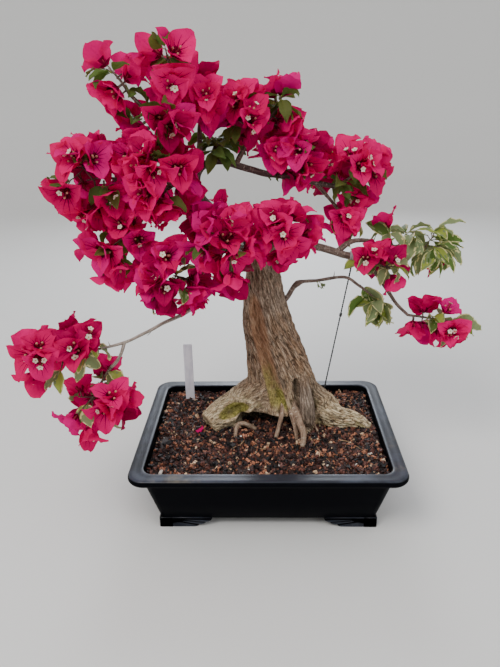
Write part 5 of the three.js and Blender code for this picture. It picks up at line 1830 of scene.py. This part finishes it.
def build_leaves(masses, leaves, looks):
    rng = np.random.default_rng(505)
    base, axis, out, tint, rimmed, growth = leaf_places(leaves, rng)
    count = len(base)
    stalk = rng.uniform(*STALKS["length"], count) * np.minimum(1, growth)
    form = drawn(rng, LEAF_FORM, count)
    form["length"] *= growth
    form["width"] *= np.minimum(WIDEST_GROWTH, growth)
    blades = Blades(LEAF_OUTLINE, rng, base + axis * stalk[:, None], axis, out, crease=0.9, **form)

    def shade_of(cell_u, cell_v):
        shades = np.repeat(tint[:, None], len(cell_u), axis=1)
        ragged = rng.uniform(size=shades.shape)
        across = np.abs(cell_v)
        outer = across > CREAM_EDGE["from"]
        inner = (across > CREAM_FLECKS["from"]) & ~outer
        cream = (outer & (ragged < CREAM_EDGE["share"])) | (inner & (ragged < CREAM_FLECKS["share"]))
        cream = (cream | (cell_u > CREAM_TIP)) & rimmed[:, None]
        sage = rimmed[:, None] & (across > SAGE_PATCHES["from"]) & (ragged > SAGE_PATCHES["above"])
        shades[sage] = SAGE
        shades[cream] = CREAM
        return shades

    joined = Joined()
    add_blades(joined, blades, LEAF_ROWS, LEAF_COLUMNS, shade_of)
    for k in range(count):
        path = smooth_path([base[k] - axis[k] * 2, base[k] + axis[k] * stalk[k] * 0.5,
                            base[k] + axis[k] * (stalk[k] + 1)], 1)
        joined.add(*tube(path, STALKS["radii"], 5)[:2], LIME)
    leaf_piece = joined.piece("leaves", looks, "leaf")
    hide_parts(*[name for name in masses if name.startswith("leaves")])


# Label and wire


def build_label():
    """The bare plastic tag, a rounded strip with a slight bow."""
    half, thick, corner = LABEL["width"] / 2, LABEL["thick"], LABEL["corner"]
    bottom, top = SOIL_TOP - LABEL["sunk"], SOIL_TOP + LABEL["height"]
    turn = np.linspace(0, np.pi / 2, 6)
    rounding = corner * np.stack([np.cos(turn), np.sin(turn)], axis=1)
    right = np.array([half - corner, top - corner]) + rounding
    left = right[::-1] * (-1, 1)
    rows = [(half, z) for z in np.linspace(bottom, top - corner - 2, 10)]
    outline = np.array(rows + right.tolist() + left.tolist() + [(-x, z) for x, z in rows[::-1]])
    rings = []
    bevel, deep = LABEL["bevel"], thick / 2 - LABEL["bevel_deep"]
    for inset, y in [(bevel, -thick / 2), (0, -deep), (0, deep), (bevel, thick / 2)]:
        x = outline[:, 0] - np.sign(outline[:, 0]) * inset
        bow = LABEL["bow"] * ((outline[:, 1] - bottom) / (top - bottom)) ** 2
        bow = bow + LABEL["curl"] * outline[:, 0] ** 2
        y = LABEL["y"] + y + bow - LABEL["back"]
        rings.append(np.stack([LABEL["x"] + x, y, outline[:, 1] - inset], axis=1))
    count = len(outline)
    points = np.concatenate(rings)
    faces = ring_faces(len(rings), count)
    pairs = np.arange(count // 2 - 1)
    caps = [np.stack([k + pairs, k + pairs + 1, k + count - 2 - pairs, k + count - 1 - pairs], axis=1)
            for k in (0, 3 * count)]
    n = Nodes("label_plastic")
    weathered = n.noise(n.place(stretch=(1, 1, 0.3)), 120, detail=5)
    colour = n.ramp(weathered, [(0.35, (0.7, 0.7, 0.82)), (0.6, (0.88, 0.88, 0.96))])
    n.bump(n.noise(n.place(), 600), 0.15, 0.0003)
    faces = np.concatenate([faces] + caps)
    label = piece("plant_tag", points, faces, [n.finish(colour, 0.42)], smooth=False)
    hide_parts("plant_label")


def build_wire():
    """The guy wire: two twisted strands with a knot."""
    start, end = np.array(WIRE["top"], float), np.array(WIRE["foot"], float)
    axis = unit(end - start)
    first, second = square_to(axis)
    share = np.linspace(0, 1, 160)
    turn = 2 * np.pi * share * np.linalg.norm(end - start) / WIRE["turn"]
    loose = noise(share[:, None] * np.array([[9.0, 1, 1]]), 91)
    spread = WIRE["radius"] * (0.8 + 0.5 * np.maximum(0, loose))
    joined = Joined()
    for strand in (0, np.pi):
        path = wound(start + (end - start) * share[:, None], first, second, spread, turn + strand)
        joined.add(*tube(path, WIRE["radius"], 6)[:2])
    turn = np.linspace(0, 2 * np.pi * WIRE_KNOT["turns"], 30)
    coil = wound(start + axis * WIRE_KNOT["at"], first, second, WIRE_KNOT["reach"], turn)
    coil = coil + axis * (turn * WIRE_KNOT["rise"])[:, None]
    joined.add(*tube(coil, WIRE_KNOT["thick"], 6)[:2])
    wire = joined.piece("tie_wire", [plain("wire_coat", (0.012, 0.012, 0.013), 0.55)], "wire")
    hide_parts("guy_wire")


def build_wrap():
    """The silvery wrap round the right bough, where the wire is tied."""
    heart, along = np.array(COLLAR["heart"], float), unit(np.array(COLLAR["along"], float))
    turn = np.linspace(0, 2 * np.pi * COLLAR["turns"], 20 * COLLAR["turns"])
    reach = COLLAR["radius"] * (1 + 0.08 * noise(turn[:, None] * np.array([[0.7, 0.3, 0.2]]), 95))
    share = np.linspace(-0.5, 0.5, len(turn))
    path = wound(heart + along * (COLLAR["length"] * share)[:, None], *square_to(along), reach, turn)
    joined = Joined()
    joined.add(*tube(path, COLLAR["thick"], 8)[:2])
    joined.piece("silver_wrap", [plain("wrap", (0.36, 0.36, 0.38), 0.45, 220, 0.5)], "wire")


# Stage

FLOOR_LOOK = (0.78, 0.77, 0.75)
# The floor and the wall that it rises into, in metres: distance from the middle, and height.
FLOOR_PROFILE = [
    (0.01, 0), (2.6, 0), (3.0, 0.06), (3.3, 0.25), (3.5, 0.6), (3.6, 1.2), (3.62, 3.2),
]
FLOOR_SIDES = 96
SKY = {"Color": (0.93, 0.96, 1, 1), "Strength": 0.75}
LIGHTS = [
    # name, place, aim, size, power, colour
    ("key", (-1.1, -1.3, 2.3), (0, 0, 0.35), 1.3, 42, (1, 0.98, 0.95)),
    ("fill", (1.6, -1.1, 1.3), (0, 0, 0.35), 1.6, 12, (0.95, 0.97, 1)),
    ("back", (0, 1.9, 1.05), (0, 0, 0.2), 0.9, 17, (0.84, 0.91, 1)),
]


def build_stage():
    """A round floor that rises into a wall."""
    turn = np.linspace(0, 2 * np.pi, FLOOR_SIDES, endpoint=False)
    rings = [np.stack([r * np.cos(turn), r * np.sin(turn), np.full(FLOOR_SIDES, z)], axis=1)
             for r, z in FLOOR_PROFILE]
    mesh = bpy.data.meshes.new("floor")
    mesh.from_pydata(np.concatenate(rings).tolist(), [], ring_faces(len(rings), FLOOR_SIDES).tolist())
    mesh.polygons.foreach_set("use_smooth", np.full(len(mesh.polygons), True))
    n = Nodes("floor_paint")
    n.bump(n.noise(n.place(), 60), 0.05, 0.001)
    mesh.materials.append(n.finish(FLOOR_LOOK, 0.75))
    floor = show("floor", mesh)


def turn_and_place(shown, right, up, back, place):
    """Turns a lamp or camera, which looks away from back, and puts it in its place."""
    matrix = np.vstack([np.column_stack([right, up, back, place]), [0, 0, 0, 1]])
    shown.matrix_world = Matrix(matrix.tolist())


def build_lights():
    world = bpy.data.worlds.new("studio")
    world.use_nodes = True
    for key, value in SKY.items():
        world.node_tree.nodes["Background"].inputs[key].default_value = value
    bpy.context.scene.world = world
    for name, place, aim, size, power, colour in LIGHTS:
        light = bpy.data.lights.new(name, "AREA")
        light.shape = "DISK"
        light.size = size
        light.energy = power
        light.color = colour
        back = unit(np.array(place, float) - np.array(aim, float))
        right = unit(np.cross(UP, back))
        turn_and_place(show(name, light), right, np.cross(back, right), back, place)


def build_camera():
    ahead = unit(np.array(CAMERA_AHEAD))
    level_right = unit(np.cross(ahead, UP))
    level_up = np.cross(level_right, ahead)
    roll = math.radians(CAMERA_ROLL)
    right = math.cos(roll) * level_right + math.sin(roll) * level_up
    up = -math.sin(roll) * level_right + math.cos(roll) * level_up
    camera = bpy.data.cameras.new("camera")
    camera.sensor_fit = "VERTICAL"
    camera.sensor_height = SENSOR
    camera.lens = SENSOR * FOCAL_PIXELS / FRAME_HEIGHT
    camera.clip_start = 0.02
    bpy.context.scene.camera = show("camera", camera)
    turn_and_place(bpy.context.scene.camera, right, up, -ahead, to_metres(CAMERA_AT))


build_camera()
build_lights()
build_stage()
masses = {
    name: {"heart": np.array(heart, float), "reach": np.array(reach, float),
           "blooms": blooms, "leaves": leaves}
    for name, (heart, reach, blooms, leaves) in MASSES.items()
}
routes = route_limbs(masses)
build_pot()
build_grains()
build_bed()
build_rootlets()
build_trunk(routes)
build_slim_roots()
build_crown(masses, routes, build_limbs(routes))
build_label()
build_wire()
build_wrap()
